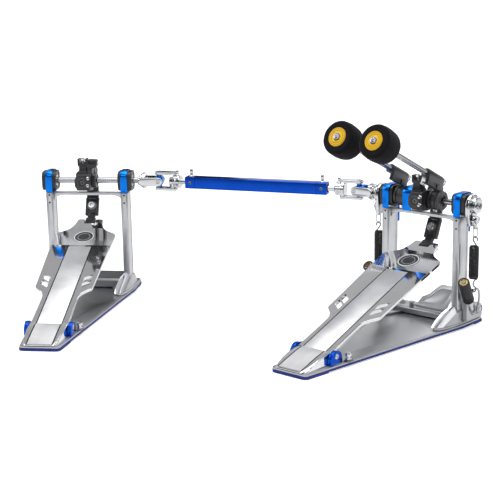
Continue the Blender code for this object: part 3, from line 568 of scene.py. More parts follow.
def drum_key_bolt(start, direction, radius=3.4, height=9.0, square=2.6):
    """A key bolt: a flange, a collar and a square head."""
    base = rev([(0, 0), (radius * 1.35, 0), (radius * 1.35, 1.0), (radius, 1.8), (radius * 0.8, 2.8),
                (radius * 0.8, height * 0.45), (0, height * 0.45)], steps=28)
    key = ext("XY", rounded(square, square, 0.5, steps=3), height * 0.4, height, 0.5, 2)
    return place_along(join(base, key), start, direction)


# ------------------------------------------------------------------ base
# X and Y of the floor plate's right edge, from the heel to the drum
BASE_SIDE = [(22, -319), (26.5, -318), (29.5, -315), (61, -74), (70.5, -8), (71, 24), (70.5, 43), (68, 45.5)]


def base_outline(inset):
    """The floor plate's outline, drawn in by the inset."""
    side = []
    for x, y in BASE_SIDE:
        y = min(max(y, -319 + inset), 45.5 - inset)
        side.append((x - inset, y))
    return mirrored(side)


def build_base(prefix, at, body):
    put = placer(prefix, body, at)
    sheet = ext("XY", base_outline(0.1), 1.5, 4.0, 0.5)
    heel = mirrored([(22, -318.9), (26.5, -317.9), (29.4, -314.9), (34.3, -277)])
    rear = mirrored([(70.9, 23), (70.4, 43), (67.9, 45.4)])
    pads = [ext("XY", outline, 0.05, 2.6, 0.4) for outline in (heel, rear)]
    ribs = [box((-60 + 0.13 * k, 24 + 3.5 * k, 0), (60, 25.6 + 3.5 * k, 0.6)) for k in range(6)]
    put(join(sheet, *pads, *ribs), "rubber_sheet", "rubber", True)
    lower = ext("XY", base_outline(0.8), 4.3, 6.7, 0.25)
    raised = ext("XY", base_outline(3.4), 6.5, 7.3, 0.35)
    put(join(lower, raised), "base_plate", "satin", True)


def leaf(side):
    """The bright leaf-shaped face on a foot casting, towards the drummer."""
    spine = smooth_path([(51, -55, 8.5), (53.5, -46, 15), (55.5, -36, 22.5), (57.6, -26, 30),
                         (59.3, -18, 34.8)], 5)
    rows = []
    count = len(spine)
    for i, p in enumerate(spine):
        f = i / (count - 1)
        width = 6.8 * math.sin(math.pi * min(1, 0.08 + 0.92 * f) ** 0.8) ** 0.75 + 0.25
        across = Vector((0.83, 0.42, -0.36)).normalized()
        out = Vector((-0.46, -0.60, 0.66)).normalized()
        rows.append([p - across * width, p - across * width * 0.5 + out * 0.9, p + out * 1.25,
                     p + across * width * 0.5 + out * 0.9, p + across * width, p - out * 3.2])
    bm = bmesh.new()
    verts = [[bm.verts.new(Vector((side * q.x, q.y, q.z)) * K) for q in row] for row in rows]
    for near, far in zip(verts, verts[1:]):
        skin(bm, near, far)
    bm.faces.new(verts[0])
    bm.faces.new(verts[-1])
    return raw(bm)


def foot_lobe(side):
    """A foot casting's flat pad and the mound that holds its post."""
    plan = [(34, -11), (36.5, -20), (41, -32), (49, -55), (51.5, -59), (54.5, -60.3), (58, -59.3),
            (60.5, -56.5), (63.5, -48), (66, -39), (68.2, -20), (69.2, 0), (69.8, 24), (69.3, 42), (34, 38)]
    pad = ext("XY", [(side * x, y) for x, y in plan], 7.5, 10.4, 1.1, 3)
    low = [(44, -26), (49.5, -54), (53, -57.5), (57, -57), (60.5, -50), (64.5, -36), (67.2, -18), (68, 0),
           (67.8, 27), (46, 27)]
    middle = [(50.5, -44), (56, -47), (60, -42), (65, -24), (67.4, 0), (67.3, 18), (50, 18)]
    points = [(side * x, y, 8.5) for x, y in low]
    points += [(side * x, y, 17) for x, y in middle]
    points += [(side * x, y, 27) for x, y in ((53.2, -20), (66.8, -20), (66.8, 12), (53.2, 12))]
    points += [(side * x, y, 34.5) for x, y in ((57, -19), (62.3, -19))]
    mound = hull(points, 1.6, 3)
    return pad, mound


def build_cross_foot(prefix, at, body, is_main):
    put = placer(prefix, body, at)
    if is_main:
        profile = [(-11, 7.6), (38, 7.6), (40, 9.5), (38, 12), (4, 12), (0, 17), (-8.5, 17.5), (-11, 15.5)]
    else:
        profile = [(-11, 7.6), (45, 7.6), (45.5, 19.5), (43, 21.5), (-8, 21.5), (-11, 19)]
    bar = ext("YZ", profile, -52, 52, 0.9, 3)
    foot = union(bar, *foot_lobe(-1), *foot_lobe(1))
    for side in (-1, 1):
        low, high = span(side, 54.2, 65.8)
        cut(foot, box((low, -17.3, 25.7), (high, 9, 60)))
        if is_main:
            low, high = span(side, 65.7, 80)
            cut(foot, box((low, -8, 10.9), (high, 40, 40)))
    if not is_main:
        cut(foot, cyl((40, 35, 14), (40, 35, 30), 2.2), cyl((-40, 35, 14), (-40, 35, 30), 2.2))
    put(foot, "cross_foot", "cast", True, smooth=28)
    for side, word in SIDES:
        put(leaf(side), f"{word}_foot_blade", "polished", smooth=60)
        for k, (x, y, z) in enumerate(((55.4, -44, 16.2), (57.6, -37, 20.8))):
            put(socket_bolt((side * x, y, z), (side * -0.1, -0.35, 0.93), 1.9, 1.2),
                f"{word}_foot_screw_{k}", "dark_steel")
        put(socket_bolt((side * 60, 32, 9.8), (0, 0, 1), 3.2, 2.2), f"{word}_foot_bolt", "steel")
    # Painted shadow: a dark strip in the gap between the base plate and the cross foot.
    shadow = box((-40, -11.6, 7.35), (38, -11.05, 8.6))
    put(shadow, "foot_gap_shadow", "shadow")


# Y, the top face's Z and the half width, from the hinge to the heel edge
HEEL_ROWS = [(-266, 24.0, 28.0), (-270, 23.4, 28.0), (-274, 22.3, 28.0), (-279, 21.1, 27.8),
             (-284, 19.7, 27.6), (-290, 17.9, 27.2), (-295, 16.4, 26.8), (-300, 14.8, 26.2),
             (-305, 13.2, 25.5), (-309, 12.0, 24.7), (-313, 10.9, 23.6), (-316, 10.0, 22.5),
             (-318, 9.2, 21.4)]


def heel_section(width, top):
    """The heel plate's section: sloped sides and a groove beside the tread."""
    low = 7.6
    side = [(width + 0.3, low), (width, low + (top - low) * 0.55), (width - 0.5, top - 0.9),
            (width - 1.3, top - 0.25), (width - 2.4, top)]
    groove = [(19.4, top), (19.0, top - 0.8), (18.0, top - 0.8), (17.6, top)]
    return mirrored(side + groove)


def build_heel(prefix, at, body):
    put = placer(prefix, body, at)
    stations = [y for y, _, _ in HEEL_ROWS]
    heel = loft(stations, [heel_section(w, z) for _, z, w in HEEL_ROWS])
    put(heel, "heel_plate", "polished", True, smooth=28)
    rows = [(y, z) for y, z, _ in HEEL_ROWS[:-1]]
    tread = loft([y for y, _ in rows],
                 [[(-17.4, z - 0.5), (-17.4, z + 0.12), (17.4, z + 0.12), (17.4, z - 0.5)] for _, z in rows])
    put(tread, "heel_tread", "tread", smooth=28)
    # Painted shade: dark strips laid in the heel plate's grooves.
    lines = [loft([y for y, _ in rows], [[(side * 17.7, z - 0.9), (side * 17.7, z - 0.3),
                                          (side * 18.9, z - 0.3), (side * 18.9, z - 0.9)] for _, z in rows])
             for side in (-1, 1)]
    put(join(*lines), "heel_groove_shade", "shadow")
    shape = [(-273, 7.7), (-247.5, 7.7)] + arc((-260.5, 15.2), (11.6, 10.4), 0, 150, 24) + [(-273, 17)]
    for side, word in SIDES:
        low, high = span(side, 28.7, 34.4)
        block = ext("YZ", shape, low, high, 0.6, 3)
        cut(block, cyl((side * 33.6, *HEEL_PIN[1:]), (side * 36, *HEEL_PIN[1:]), 4.2))
        put(block, f"{word}_hinge_block", "deep_blue",
            prefix + "_heel_hinge" if side > 0 else None)
        put(socket_bolt((side * 33.4, *HEEL_PIN[1:]), (side, 0, 0), 3.6, 1.6), f"{word}_hinge_pin", "steel")
        spike = rev([(0, -2), (2.6, -2), (2.6, 1.5), (4.6, 1.6), (4.6, 3.2), (2.8, 3.6), (2.8, 5), (4.3, 5.4),
                     (4.6, 6), (4.6, 9), (4.3, 9.6), (2, 10.2), (0, 10.2)], (side * 38, -240, 9.3),
                    (side * 38, -240, 12), 28)
        put(spike, f"{word}_anchor_screw", "chrome")
        base = hull([(side * x, y, z) for x, y, z in ((33, -246, 7.4), (43, -246, 7.4), (43, -233, 7.4),
                                                       (33, -233, 7.4), (35, -244, 10), (41, -244, 10),
                                                       (41, -235, 10), (35, -235, 10))], 0.6)
        put(base, f"{word}_anchor_base", "dark_steel")


# ------------------------------------------------------------------ posts and bearings
def build_posts(prefix, at, body):
    put = placer(prefix, body, at)
    for side, word in SIDES:
        c = side * POST_X
        column = ext("XY", rounded(5.5, 12.85, 1.3, (c, -4.15), 4), 26, 162.2, 0.4)
        cutters = [cyl((c, -18, z), (c, -12, z), 1.55, edge=0, steps=20) for z in POST_HOLES]
        for s in (-1, 1):
            low, high = sorted((c + s * 5.0, c + s * 6.5))
            cutters.append(ext("YZ", rounded(8.2, 62, 2.5, (-4.15, 93)), low, high))
        put(cut(column, *cutters), f"{word}_post", "post", True)
        # Painted shade: a dark disc set into each hole.
        for k, z in enumerate(POST_HOLES):
            put(cyl((c, -16.5, z), (c, -13.4, z), 1.5, edge=0.1, steps=20), f"{word}_post_hole_{k}", "shadow")
    inner = 54.2
    side = [(inner, 162), (inner, 149)] + arc((38, 149), (inner - 38.4, 8.5), 10, 90, 16)
    bar = ext("XZ", mirrored(side), -9, 0, 0.7, 3)
    put(bar, "crossbar", "post", True)


def bearing_set(name, body, at, x, out):
    """A ball bearing's rings and shield, seen at a housing's face."""
    put = placer(name, body, at)

    def rings(r0, r1, depth):
        return rev([(r0, 0), (r1, 0), (r1, depth), (r0, depth), (r0, 0)], (x - out * 1.6, 0, AXLE_Z),
                   (x, 0, AXLE_Z), 36)

    put(join(rings(6.9, 8.9, 1.2), rings(5.1, 6.0, 1.3)), "rings", "chrome")
    put(rings(5.9, 7.0, 0.9), "shield", "dark_steel")


def build_housing(name, body, at, low, high, band_low, band_high, tongue=None):
    put = placer(name, body, at)
    block = ext("YZ", rounded(15.2, 15.2, 8.5, (0, AXLE_Z), 8), low, high, 0.7, 3)
    cutters = [cyl((low - 1, 0, AXLE_Z), (high + 1, 0, AXLE_Z), 5.0, edge=0)]
    for x in (low, high):
        cutters.append(cyl((x - 1.5, 0, AXLE_Z), (x + 1.5, 0, AXLE_Z), 9, edge=0))
        for angle in (45, 135, 225, 315):
            a = math.radians(angle)
            centre = (12.4 * math.cos(a), AXLE_Z + 12.4 * math.sin(a))
            cutters.append(ext("YZ", capsule((centre[0] - 2.2 * math.sin(a), centre[1] + 2.2 * math.cos(a)),
                                             (centre[0] + 2.2 * math.sin(a), centre[1] - 2.2 * math.cos(a)),
                                             1.3, 6), x - 0.8, x + 0.8))
    cut(block, *cutters)
    put(block, "housing", "black", name.replace("bearing", "bearing_housing"))
    bearing_set(name + "_inner", body, at, low, -1)
    bearing_set(name + "_outer", body, at, high, 1)

    def over(half, corner, foot):
        reach = half - corner
        return ([(half, foot)] + arc((reach, AXLE_Z + reach), (corner, corner), 0, 90, 10)
                + arc((-reach, AXLE_Z + reach), (corner, corner), 90, 180, 10) + [(-half, foot)])

    strap = ext("YZ", over(16.9, 9.5, 162.9) + over(15.6, 8.8, 162.9)[::-1], band_low, band_high, 0.35, 2)
    pieces = [strap]
    if tongue:
        pieces.append(box((tongue[0], 15.6, 137.5), (tongue[1], 16.8, 170), 0.4))
    put(join(*pieces), "band", "blue", name.replace("bearing", "bearing_band"))
    put(socket_bolt(((band_low + band_high) / 2, -4, 196.8), (0, 0, 1), 1.6, 0.6), "band_screw", "dark_steel")


# ------------------------------------------------------------------ footboard
def board_half():
    """The right half of the footboard's outline, from its heel edge."""
    side = [(26.8, 0.2), (26.3, 40), (26.3, 66)]
    side += [(27.0, 71), (28.8, 75.5), (33, 81.5), (39, 87), (41.8, 89.4), (43, 92)]
    side += [(45.6, 165), (48.2, 235), (48.2, 238.5), (47.2, 241), (45, 242.6), (34, 249)]
    side += [(30.5, 251.6), (27.4, 255.4), (24.8, 260.4), (22.8, 266), (21.4, 272), (20.7, 278)]
    side += [(20.2, 281), (19.0, 282.9), (17, 283.4), (11, 283.5), (9.4, 283), (8.6, 281.6), (8.4, 279.5)]
    side += [(8.4, 272.5), (7.6, 271)]
    return side


def build_footboard(prefix, at, body):
    at = at @ BOARD
    put = placer(prefix, body, at)
    points = [(x, y + BOARD_START) for x, y in board_half()]
    slab = ext("XY", mirrored(points), BOARD_TOP - 4.6, BOARD_TOP, 0.5, 2)
    trough = TROUGH_RADIUS - TROUGH_DEPTH
    cutters = [cyl((-60, MEDALLION_ALONG + BOARD_START, BOARD_TOP + trough),
                   (60, MEDALLION_ALONG + BOARD_START, BOARD_TOP + trough), TROUGH_RADIUS, edge=0,
                   steps=900)]
    for side in (-1, 1):
        for near, far in ((91, 102.3), (105.6, 117.5)):
            window = [(25.3, near), (37.5, near + 9.5), (37.5, far + 9.5), (25.3, far)]
            cutters.append(ext("XY", [(side * x, y + BOARD_START) for x, y in window], BOARD_TOP - 8,
                               BOARD_TOP + 2))
        low_x, high_x = span(side, 17.8, 19.4)
        cutters.append(box((low_x, -6, BOARD_TOP - 1.1), (high_x, 205, BOARD_TOP + 2)))
    cutters.append(cyl((-60, 0, 0), (60, 0, 0), 3.1, edge=0))
    cut(slab, *cutters)
    put(slab, "footboard", "polished", True, smooth=2.5)
    tread = box((-17.7, BOARD_START + 0.6, BOARD_TOP - 0.5), (17.7, 200.5, BOARD_TOP + 0.12), 0.12)
    put(tread, "tread", "tread")
    for side, word in SIDES:
        # Painted shade: a dark strip in each groove beside the tread.
        low_x, high_x = span(side, 17.9, 19.3)
        put(box((low_x, -1.4, BOARD_TOP - 1.3), (high_x, 204.8, BOARD_TOP - 0.35)), f"{word}_tread_groove",
            "shadow")
        rib_low, rib_high = span(side, 21.6, 25.6)
        rib = box((rib_low, 6, BOARD_TOP - 9), (rib_high, 84, BOARD_TOP - 4), 0.5)
        knuckle = cyl((side * 19.8, 0, 0), (side * 27.8, 0, 0), 5.2)
        lug_low, lug_high = span(side, 9.3, 18.2)
        toe = 277 + BOARD_START
        lug = box((lug_low, toe - 7, BOARD_TOP - 9.4), (lug_high, toe + 5, BOARD_TOP - 4), 0.8)
        put(join(rib, knuckle, lug), f"{word}_board_rib", "satin")
        put(socket_bolt((side * 18.0, toe, BOARD_TOP - 5), (side, 0, 0), 3.4, 1.4),
            f"{word}_toe_screw", "steel")
    centre = (0, MEDALLION_ALONG + BOARD_START, BOARD_TOP - TROUGH_DEPTH + 0.15)
    up = (0, 0, 1)
    field = rev([(0, -0.9), (16.4, -0.9), (16.4, 0.14), (0, 0.14)], centre, Vector(centre) + Vector(up), 64)
    put(field, "medallion_field", "medallion")
    rings = [torus(centre, up, 14.9, 0.85, 64, 8), torus(centre, up, 9.5, 0.3, 64, 8)]
    put(join(*rings), "medallion_ring", "white")


# ------------------------------------------------------------------ link, hub and crank
def build_link(prefix, at, body):
    put = placer(prefix, body, at)
    half, neck = 9.4, 8.0
    front = smooth_path([(9.3, 120.5, 0), (13.0, 130, 0), (17.2, 139, 0), (21.6, 148, 0), (23.6, 158, 0),
                         (23.4, 170, 0), (21, 186, 0)], 4)
    back = smooth_path([(14.5, 119, 0), (18.6, 128.5, 0), (22.6, 137.5, 0), (26.6, 147, 0), (28.6, 158, 0),
                        (28.4, 171, 0), (26.5, 188, 0)], 4)
    outline = [(p.x, p.y) for p in front + back[::-1]]
    plate = ext("YZ", outline, -half, half, 0.6, 3)
    middle = (CRANK_PIN[0] + 1.4, CRANK_PIN[1] - 0.4)
    union(plate, ext("YZ", arc(middle, (9, 7), 0, 350, 36), -half, half, 0.5))
    slot = ext("YZ", capsule((middle[0] - 1.8, middle[1]), (middle[0] + 1.8, middle[1]), 3.0, 9), -half - 1,
               half + 1)
    sides = [box((low, 5, 166), (high, 40, 205)) for low, high in ((-half - 1, -neck), (neck, half + 1))]
    cut(plate, box((-5.2, 5, 172), (5.2, 40, 205)), slot, *sides)
    put(plate, "link_plate", "black", prefix + "_link")
    cheeks = []
    for side in (-1, 1):
        low, high = span(side, 5.6, 10.4)
        shell = [(8.6, 121.5), (12.2, 130.5), (16.4, 139.6), (20.6, 148), (27.2, 146.2), (23, 137), (19, 128),
                 (14.8, 118.6)]
        cheeks.append(ext("YZ", shell, low, high, 0.9, 3))
    put(join(*cheeks), "link_cheeks", "black")
    knee = (12.6, 122.5)
    tail = ext("YZ", capsule(TOE_PIN, knee, 3.4), -5.8, 5.8, 0.6, 3)
    clevis = ext("YZ", capsule((TOE_PIN[0] + 1.2, TOE_PIN[1] + 1.2), (TOE_PIN[0] + 4.6, TOE_PIN[1] + 4.8),
                               4.4, 12), -7.6, 7.6, 0.6, 3)
    put(join(tail, clevis), "link_tail", "black")
    put(cyl((-17.4, *TOE_PIN), (17.4, *TOE_PIN), 2.0), "toe_pin", "steel")
    out = (0, -0.91, 0.41)
    seat = (0, 15.2, 136.4)
    washer = rev([(0, -1), (7.4, -1), (7.8, 0), (7.6, 1.0), (5.6, 1.4), (0, 1.0)], steps=40)
    put(place_along(washer, seat, out), "link_washer", "dark_steel")
    put(socket_bolt(Vector(seat) + Vector(out) * 0.9, out, 5.2, 3.2, 0.52), "link_bolt", "chrome")
    lip = box((-8.5, -0.7, -0.7), (8.5, 0.7, 0.7), 0.4)
    lip.data.transform(shift(0, 21.2, 146.2))
    put(lip, "link_lip", "dark_steel")


def build_axle_group(prefix, at, body, low, high, is_main):
    put = placer(prefix, body, at)
    put(cyl((low, 0, AXLE_Z), (high, 0, AXLE_Z), AXLE_RADIUS, edge=0.5, steps=48), "axle", "rod", True)
    hub_low = -14.7 if is_main else -16
    profile = [(-26, 172), (-22, 167), (-8, 165), (6, 167), (9.5, 174), (9.5, 185), (6, 192.5),
               (-8, 195), (-23, 195), (-26, 192)]
    hub = ext("YZ", profile, hub_low, 8, 0.9, 3)
    corners = [[(hub_low - 1, AXLE_Z + s * 3), (hub_low + 6.5, AXLE_Z + s * 16),
                (hub_low - 1, AXLE_Z + s * 16)] for s in (-1, 1)]
    cut(hub, *[ext("XZ", corner, -30, -15) for corner in corners],
        cyl((hub_low - 2, 0, AXLE_Z), (20, 0, AXLE_Z), 4.7, edge=0))
    boss = rev([(0, -2), (7.9, -2), (7.9, 0.2), (7.2, 0.9), (5.2, 0.9), (4.8, 0.2), (4.8, -1.2), (0, -1.2)],
               steps=44)
    put(place_along(boss, (-3.4, -26.1, 180.6), (0, -1, 0)), "hub_boss", "black")
    ridge = ext("XZ", [(0.5, 189), (2.5, 189.5), (8, 172), (8, 168), (6.4, 168)], -27.2, -25, 0.5, 2)
    put(ridge, "hub_ridge", "black")
    cut(hub, box((hub_low - 1, -27, 193.2), (hub_low + 1.6, 20, 199)))
    put(hub, "drive_hub", "black", True)
    put(socket_bolt((-3.4, -24.6, 180.6), (0, -1, 0), 3.9, 1.9, 0.58), "hub_bolt", "dark_steel")
    for k, (x, z) in enumerate(((4.6, 176.2), (5.4, 187.6))):
        put(drum_key_bolt((x, -25.6, z), (0.25, -1, -0.15), 1.9, 5.2, 1.5), f"hub_key_bolt_{k}", "chrome")
    crank = ext("YZ", capsule((0, AXLE_Z), CRANK_PIN, 5), -4.6, 4.6, 0.6, 3)
    cut(crank, cyl((-6, 0, AXLE_Z), (6, 0, AXLE_Z), 4.7, edge=0))
    put(crank, "crank", "black")
    put(cyl((-8.0, *CRANK_PIN), (8.0, *CRANK_PIN), 2.0), "crank_pin", "steel")
    if not is_main:
        disc = rev([(4.7, 0), (11, 0), (12, 0.8), (12, 5.6), (11.2, 6.4), (9, 6.4), (8.4, 5.6), (4.7, 5.6),
                    (4.7, 0)], (7.6, 0, AXLE_Z), (14, 0, AXLE_Z), 48)
        put(disc, "hub_disc", "black")

    block = ext("YZ", [(-25, 194.4), (-9, 194.4), (-11, 207), (-12, 208), (-12, 217.8), (-25, 217.8),
                       (-25, 208), (-23.5, 206.5), (-23.5, 199)], -10, 5, 0.6, 3)
    cut(block, box((-7, -30, 211), (2, -5, 222)), box((-11.5, -30, 198.5), (-8.2, -5, 206)),
        box((3.2, -30, 198.5), (6.5, -5, 206)))
    put(block, "board_angle_seat", "black")
    put(drum_key_bolt((-2.5, -18, 209.6), (0, -0.25, 1), 3.0, 9.0, 2.3), "board_angle_bolt", "chrome")
    put(socket_bolt((-9.9, -18.0, 214.3), (-1, 0, 0), 2.6, 1.0), "board_angle_screw", "steel")
    if not is_main:
        wing = ext("XZ", [(4.5, 203.5), (4.5, 214), (7, 216.6), (20, 216), (21, 213.5), (19.5, 205.5),
                          (16, 203)], -25, -14, 0.9, 3)
        cut(wing, ext("XZ", [(7.5, 210), (7.5, 213.4), (17.5, 213), (17.5, 210)], -26, -22))
        put(wing, "angle_wing", "black")
        put(hex_bolt((20.0, -19.5, 210.5), (1, 0, 0), 3.0, 2.2), "angle_wing_bolt", "chrome")
        put(box((4, -23, 193.5), (12, -10, 204), 0.8, 3), "angle_wing_stem", "black")
    if is_main:
        clip = ext("XZ", [(5.4, 206), (8.4, 217.6), (10, 218.7), (16.4, 217.0), (17.2, 215.6),
                          (14.8, 205.4), (13.6, 204.4)], -26, -23.6, 0.7, 3)
        union(clip, box((4, -24.6, 206.5), (8, -15, 209.5), 0.4))
        nut = hex_bolt((10.5, -25.9, 208), (0, -1, 0), 2.3, 1.6)
        put(nut, "beater_angle_nut", "steel")
        put(clip, "beater_angle_clip", "chrome")


# ------------------------------------------------------------------ beaters
def build_holder(word, at_body, rod_x, hub_low, hub_high, flange):
    name = word + "_beater_holder"
    put = placer(name, at_body, BEATER)
    low = rod_x + 1.4
    crown = arc((rod_x, ROD_OFFSET), (6.9, 6.9), 0, 180, 25)
    grip = ext("XY", [(rod_x + 6.9, ROD_OFFSET - 5)] + crown + [(rod_x - 6.9, ROD_OFFSET - 5)], 0.2, 40.8,
               0.7, 3)
    web = box((low, ROD_OFFSET - 16, -1), (rod_x + 6.9, ROD_OFFSET - 3.6, 40.4), 0.7, 3)
    heel_face = [(ROD_OFFSET - 12, -1.5), (ROD_OFFSET - 12, 14), (ROD_OFFSET - 17, 13), (ROD_OFFSET - 23, 4),
                 (ROD_OFFSET - 23, -5)]
    heel = ext("YZ", heel_face, low + 0.1, rod_x + 6.7, 0.6, 2)
    union(grip, web, heel)
    notch = ext("YZ", capsule((ROD_OFFSET - 13.4, 16.5), (ROD_OFFSET - 10.6, 16.5), 1.9, 9), rod_x + 5,
                rod_x + 9)
    split = box((rod_x - 0.5, ROD_OFFSET + 4.5, 27), (rod_x + 0.5, ROD_OFFSET + 9, 44))
    cut(grip, notch, split, cyl((rod_x, ROD_OFFSET, -14), (rod_x, ROD_OFFSET, 50), 4.25, edge=0))
    add(grip, name, "black", at_body, BEATER, name)
    profile = [(4.7, 0), (12.8, 0), (14, 1.0), (14, 4.2), (13.0, 4.8), (13.0, 6.2), (14, 6.8)]
    length = hub_high - hub_low
    profile += [(14, length - 1.0), (12.8, length), (4.7, length), (4.7, 0)]
    put(rev(profile, (hub_low, 0, 0), (hub_high, 0, 0), 56), "hub", "black")
    middle = (hub_low + hub_high) / 2
    for k, angle in enumerate((205, 265)):
        a = math.radians(angle)
        foot = (middle, 13.2 * math.cos(a), 13.2 * math.sin(a))
        put(drum_key_bolt(foot, (0, math.cos(a), math.sin(a)), 2.4, 4.2, 1.9), f"clamp_bolt_{k}", "chrome")
    if flange:
        ring = [(15.2 * math.cos(math.radians(45 * i + 22.5)), 15.2 * math.sin(math.radians(45 * i + 22.5)))
                for i in range(8)]
        plate = ext("YZ", ring, hub_high + 0.1, hub_high + 7.4, 1.6, 1)
        cut(plate, cyl((hub_high - 2, 0, 0), (hub_high + 9, 0, 0), 4.75, edge=0),
            cyl((hub_high + 5.4, 0, 0), (hub_high + 9, 0, 0), 7.2, edge=0))
        put(plate, "flange", "black")
        for k in range(4):
            a = math.radians(90 * k + 45)
            put(socket_bolt((hub_high + 7.2, 10.8 * math.cos(a), 10.8 * math.sin(a)), (1, 0, 0), 1.5, 0.7),
                f"flange_bolt_{k}", "dark_steel")
    nut = rev([(4.3, -7), (6.0, -7), (6.6, -6.2), (6.6, -4.7), (5.9, -4.3), (5.9, -3.9), (6.6, -3.5),
               (6.6, -0.7), (6.0, 0), (4.3, 0), (4.3, -7)], steps=44)
    nut.data.transform(shift(rod_x, ROD_OFFSET, 0))
    put(nut, "rod_nut", "chrome")
    put(drum_key_bolt((rod_x - 6.6, ROD_OFFSET + 0.5, 32), (-1, 0, 0), 2.6, 6.5, 2.0), "rod_bolt", "chrome")


def head_profile():
    """Half the felt's section: rim, bulging wall and a round base to the bore."""
    bulge, outer, inner, length, radius, bore = 0.75, 4.8, 17.5, 42.0, 24.4, 4.3
    rim = [(radius - outer + outer * math.sin(a), -outer * (1 - math.cos(a)))
           for a in np.linspace(0, math.pi / 2, 12)]
    straight = length - outer - inner
    wall = [(radius + bulge * math.sin(math.pi * f), -outer - straight * f)
            for f in np.linspace(0.08, 0.92, 12)]
    base = [(radius - inner + inner * math.cos(a), -length + inner - inner * math.sin(a))
            for a in np.linspace(0, math.pi / 2, 22)]
    return rim + wall + base + [(bore, -length)]


def build_head(word, rod_x, body):
    profile = head_profile()
    dense = []
    closed = [(4.3, -0.3), (13.8, -0.3), (14.8, 0)] + profile
    for (r0, z0), (r1, z1) in zip(closed, closed[1:]):
        count = max(1, int(math.hypot(r1 - r0, z1 - z0) / 0.9))
        dense += [(r0 + (r1 - r0) * k / count, z0 + (z1 - z0) * k / count) for k in range(count)]
    dense.append(closed[-1])
    steps = 150
    bm = bmesh.new()
    rows = []
    seed = Vector((rod_x, 3, 1))
    for r, z in dense + [(4.3, -42), (4.3, -20)]:
        row = []
        for a in np.linspace(0, 2 * math.pi, steps, endpoint=False):
            p = Vector((r * math.cos(a), r * math.sin(a), z))
            fuzz = (0.16 * noise.noise(p * 0.9 + seed) + 0.10 * noise.noise(p * 2.6 + seed)
                    + 0.2 * noise.noise(p * 0.12))
            scale = max(0.0, 1 + (fuzz - 0.2) / max(r, 6)) if r > 5 else 1
            row.append(bm.verts.new(Vector((p.x * scale, p.y * scale, p.z)) * K))
        rows.append(row)
    rows.append(rows[0])
    for near, far in zip(rows, rows[1:]):
        skin(bm, near, far)
    felt = raw(bm)
    put = placer(word, body, BEATER @ shift(rod_x, ROD_OFFSET, HEAD_END))
    put(felt, "beater_head", "felt", True, smooth=80)
    rings = [(0, -1.0), (13.4, -1.0), (13.7, -0.2), (13.4, 0.25), (12.2, 0.35), (12.0, 0.0), (11.1, 0.0),
             (10.9, 0.3), (9.4, 0.3), (9.2, -0.15), (8.5, -0.15), (8.2, 0.25), (7.2, 0.25), (6.8, 0.5),
             (0, 0.5)]
    disc = rev(rings, (0, 0, 0), (0, 0, 1), 72)
    put(disc, "head_disc", "yellow")
    # Painted shade: darker yellow rings laid in the disc's grooves.
    groove_shades = [torus((0, 0, z), (0, 0, 1), r, 0.3, 60, 6) for r, z in ((13.3, 0.2), (11.5, 0.0), (8.9, -0.15))]
    put(join(*groove_shades), "head_disc_groove_shade", "shaded_yellow")
    put(rev([(0, 0.2), (5.6, 0.2), (5.6, 1.0), (5.1, 1.3), (0, 1.3)], steps=36), "head_washer",
        "dark_chrome")
    nut = rev([(0, 0.9), (4.0, 0.9), (4.3, 1.2), (4.3, 2.0), (3.6, 3.0), (2.1, 3.4), (1.9, 2.6), (0, 2.6)],
              steps=32)
    put(nut, "head_nut", "steel")
    cup = rev([(4.2, -43.4), (7.4, -43.4), (8.0, -42.6), (8.0, -41.4), (4.2, -41.4), (4.2, -43.4)], steps=36)
    put(cup, "head_cup", "dark_steel")


# ------------------------------------------------------------------ springs and adjusters
def stadium(half_u, half_v, centre, plane_y):
    """A long closed loop in the upright plane along the axle's line."""
    straight = half_v - half_u
    points = arc((centre[0], centre[1] + straight), (half_u, half_u), 0, 180, 10)
    points += arc((centre[0], centre[1] - straight), (half_u, half_u), 180, 360, 10)
    return [(x, plane_y, z) for x, z in points]


def build_cam(word, body, m):
    """The spring's cam on the axle, with the pin that the spring hangs from."""
    put = placer(word, body, m)
    cam_face = [(-15, 164), (-17, 172), (-17, 182), (-13.5, 190.5), (-6, 195.6), (3, 196), (9.5, 192.5),
                (13.6, 185), (13.4, 175), (9.5, 166), (5.5, 158), (2.0, 153), (-3.5, 150.6), (-9.5, 150.4),
                (-12.8, 153), (-13.8, 158)]
    cam = ext("YZ", cam_face, 73.3, 79, 1.5, 4)
    lobe = ext("YZ", arc((0, AXLE_Z), (12.5, 12.5), -60, 150, 20) + [(-12, 176), (-4, 169)], 78, 85.2, 1.6, 4)
    union(cam, lobe)
    cut(cam, cyl((70, 0, AXLE_Z), (90, 0, AXLE_Z), 4.8, edge=0),
        ext("YZ", capsule((-9.5, 160), (-7, 171), 2.6, 9), 76.5, 82),
        box((81.2, -20, 191.5), (81.9, 20, 200)))
    put(cam, "spring_lever", "chrome", True)
    put(cyl((84.0, 0, AXLE_Z), (88, 0, AXLE_Z), 4.55, edge=0.6), "lever_axle_end", "steel")
    put(socket_bolt((85.0, -8.2, 181), (1, 0, 0), 2.4, 0.7, 0.62), "lever_screw", "dark_steel")
    pin = rev([(0, 0), (1.9, 0), (1.9, 6.0), (5.2, 6.0), (6.0, 6.7), (6.0, 7.6), (5.4, 8.2), (3.4, 8.2),
               (3.0, 7.2), (0, 7.2)], (78.6, SPRING_Y, 160.5), (90, SPRING_Y, 160.5), 40)
    put(pin, "swivel_pin", "chrome")


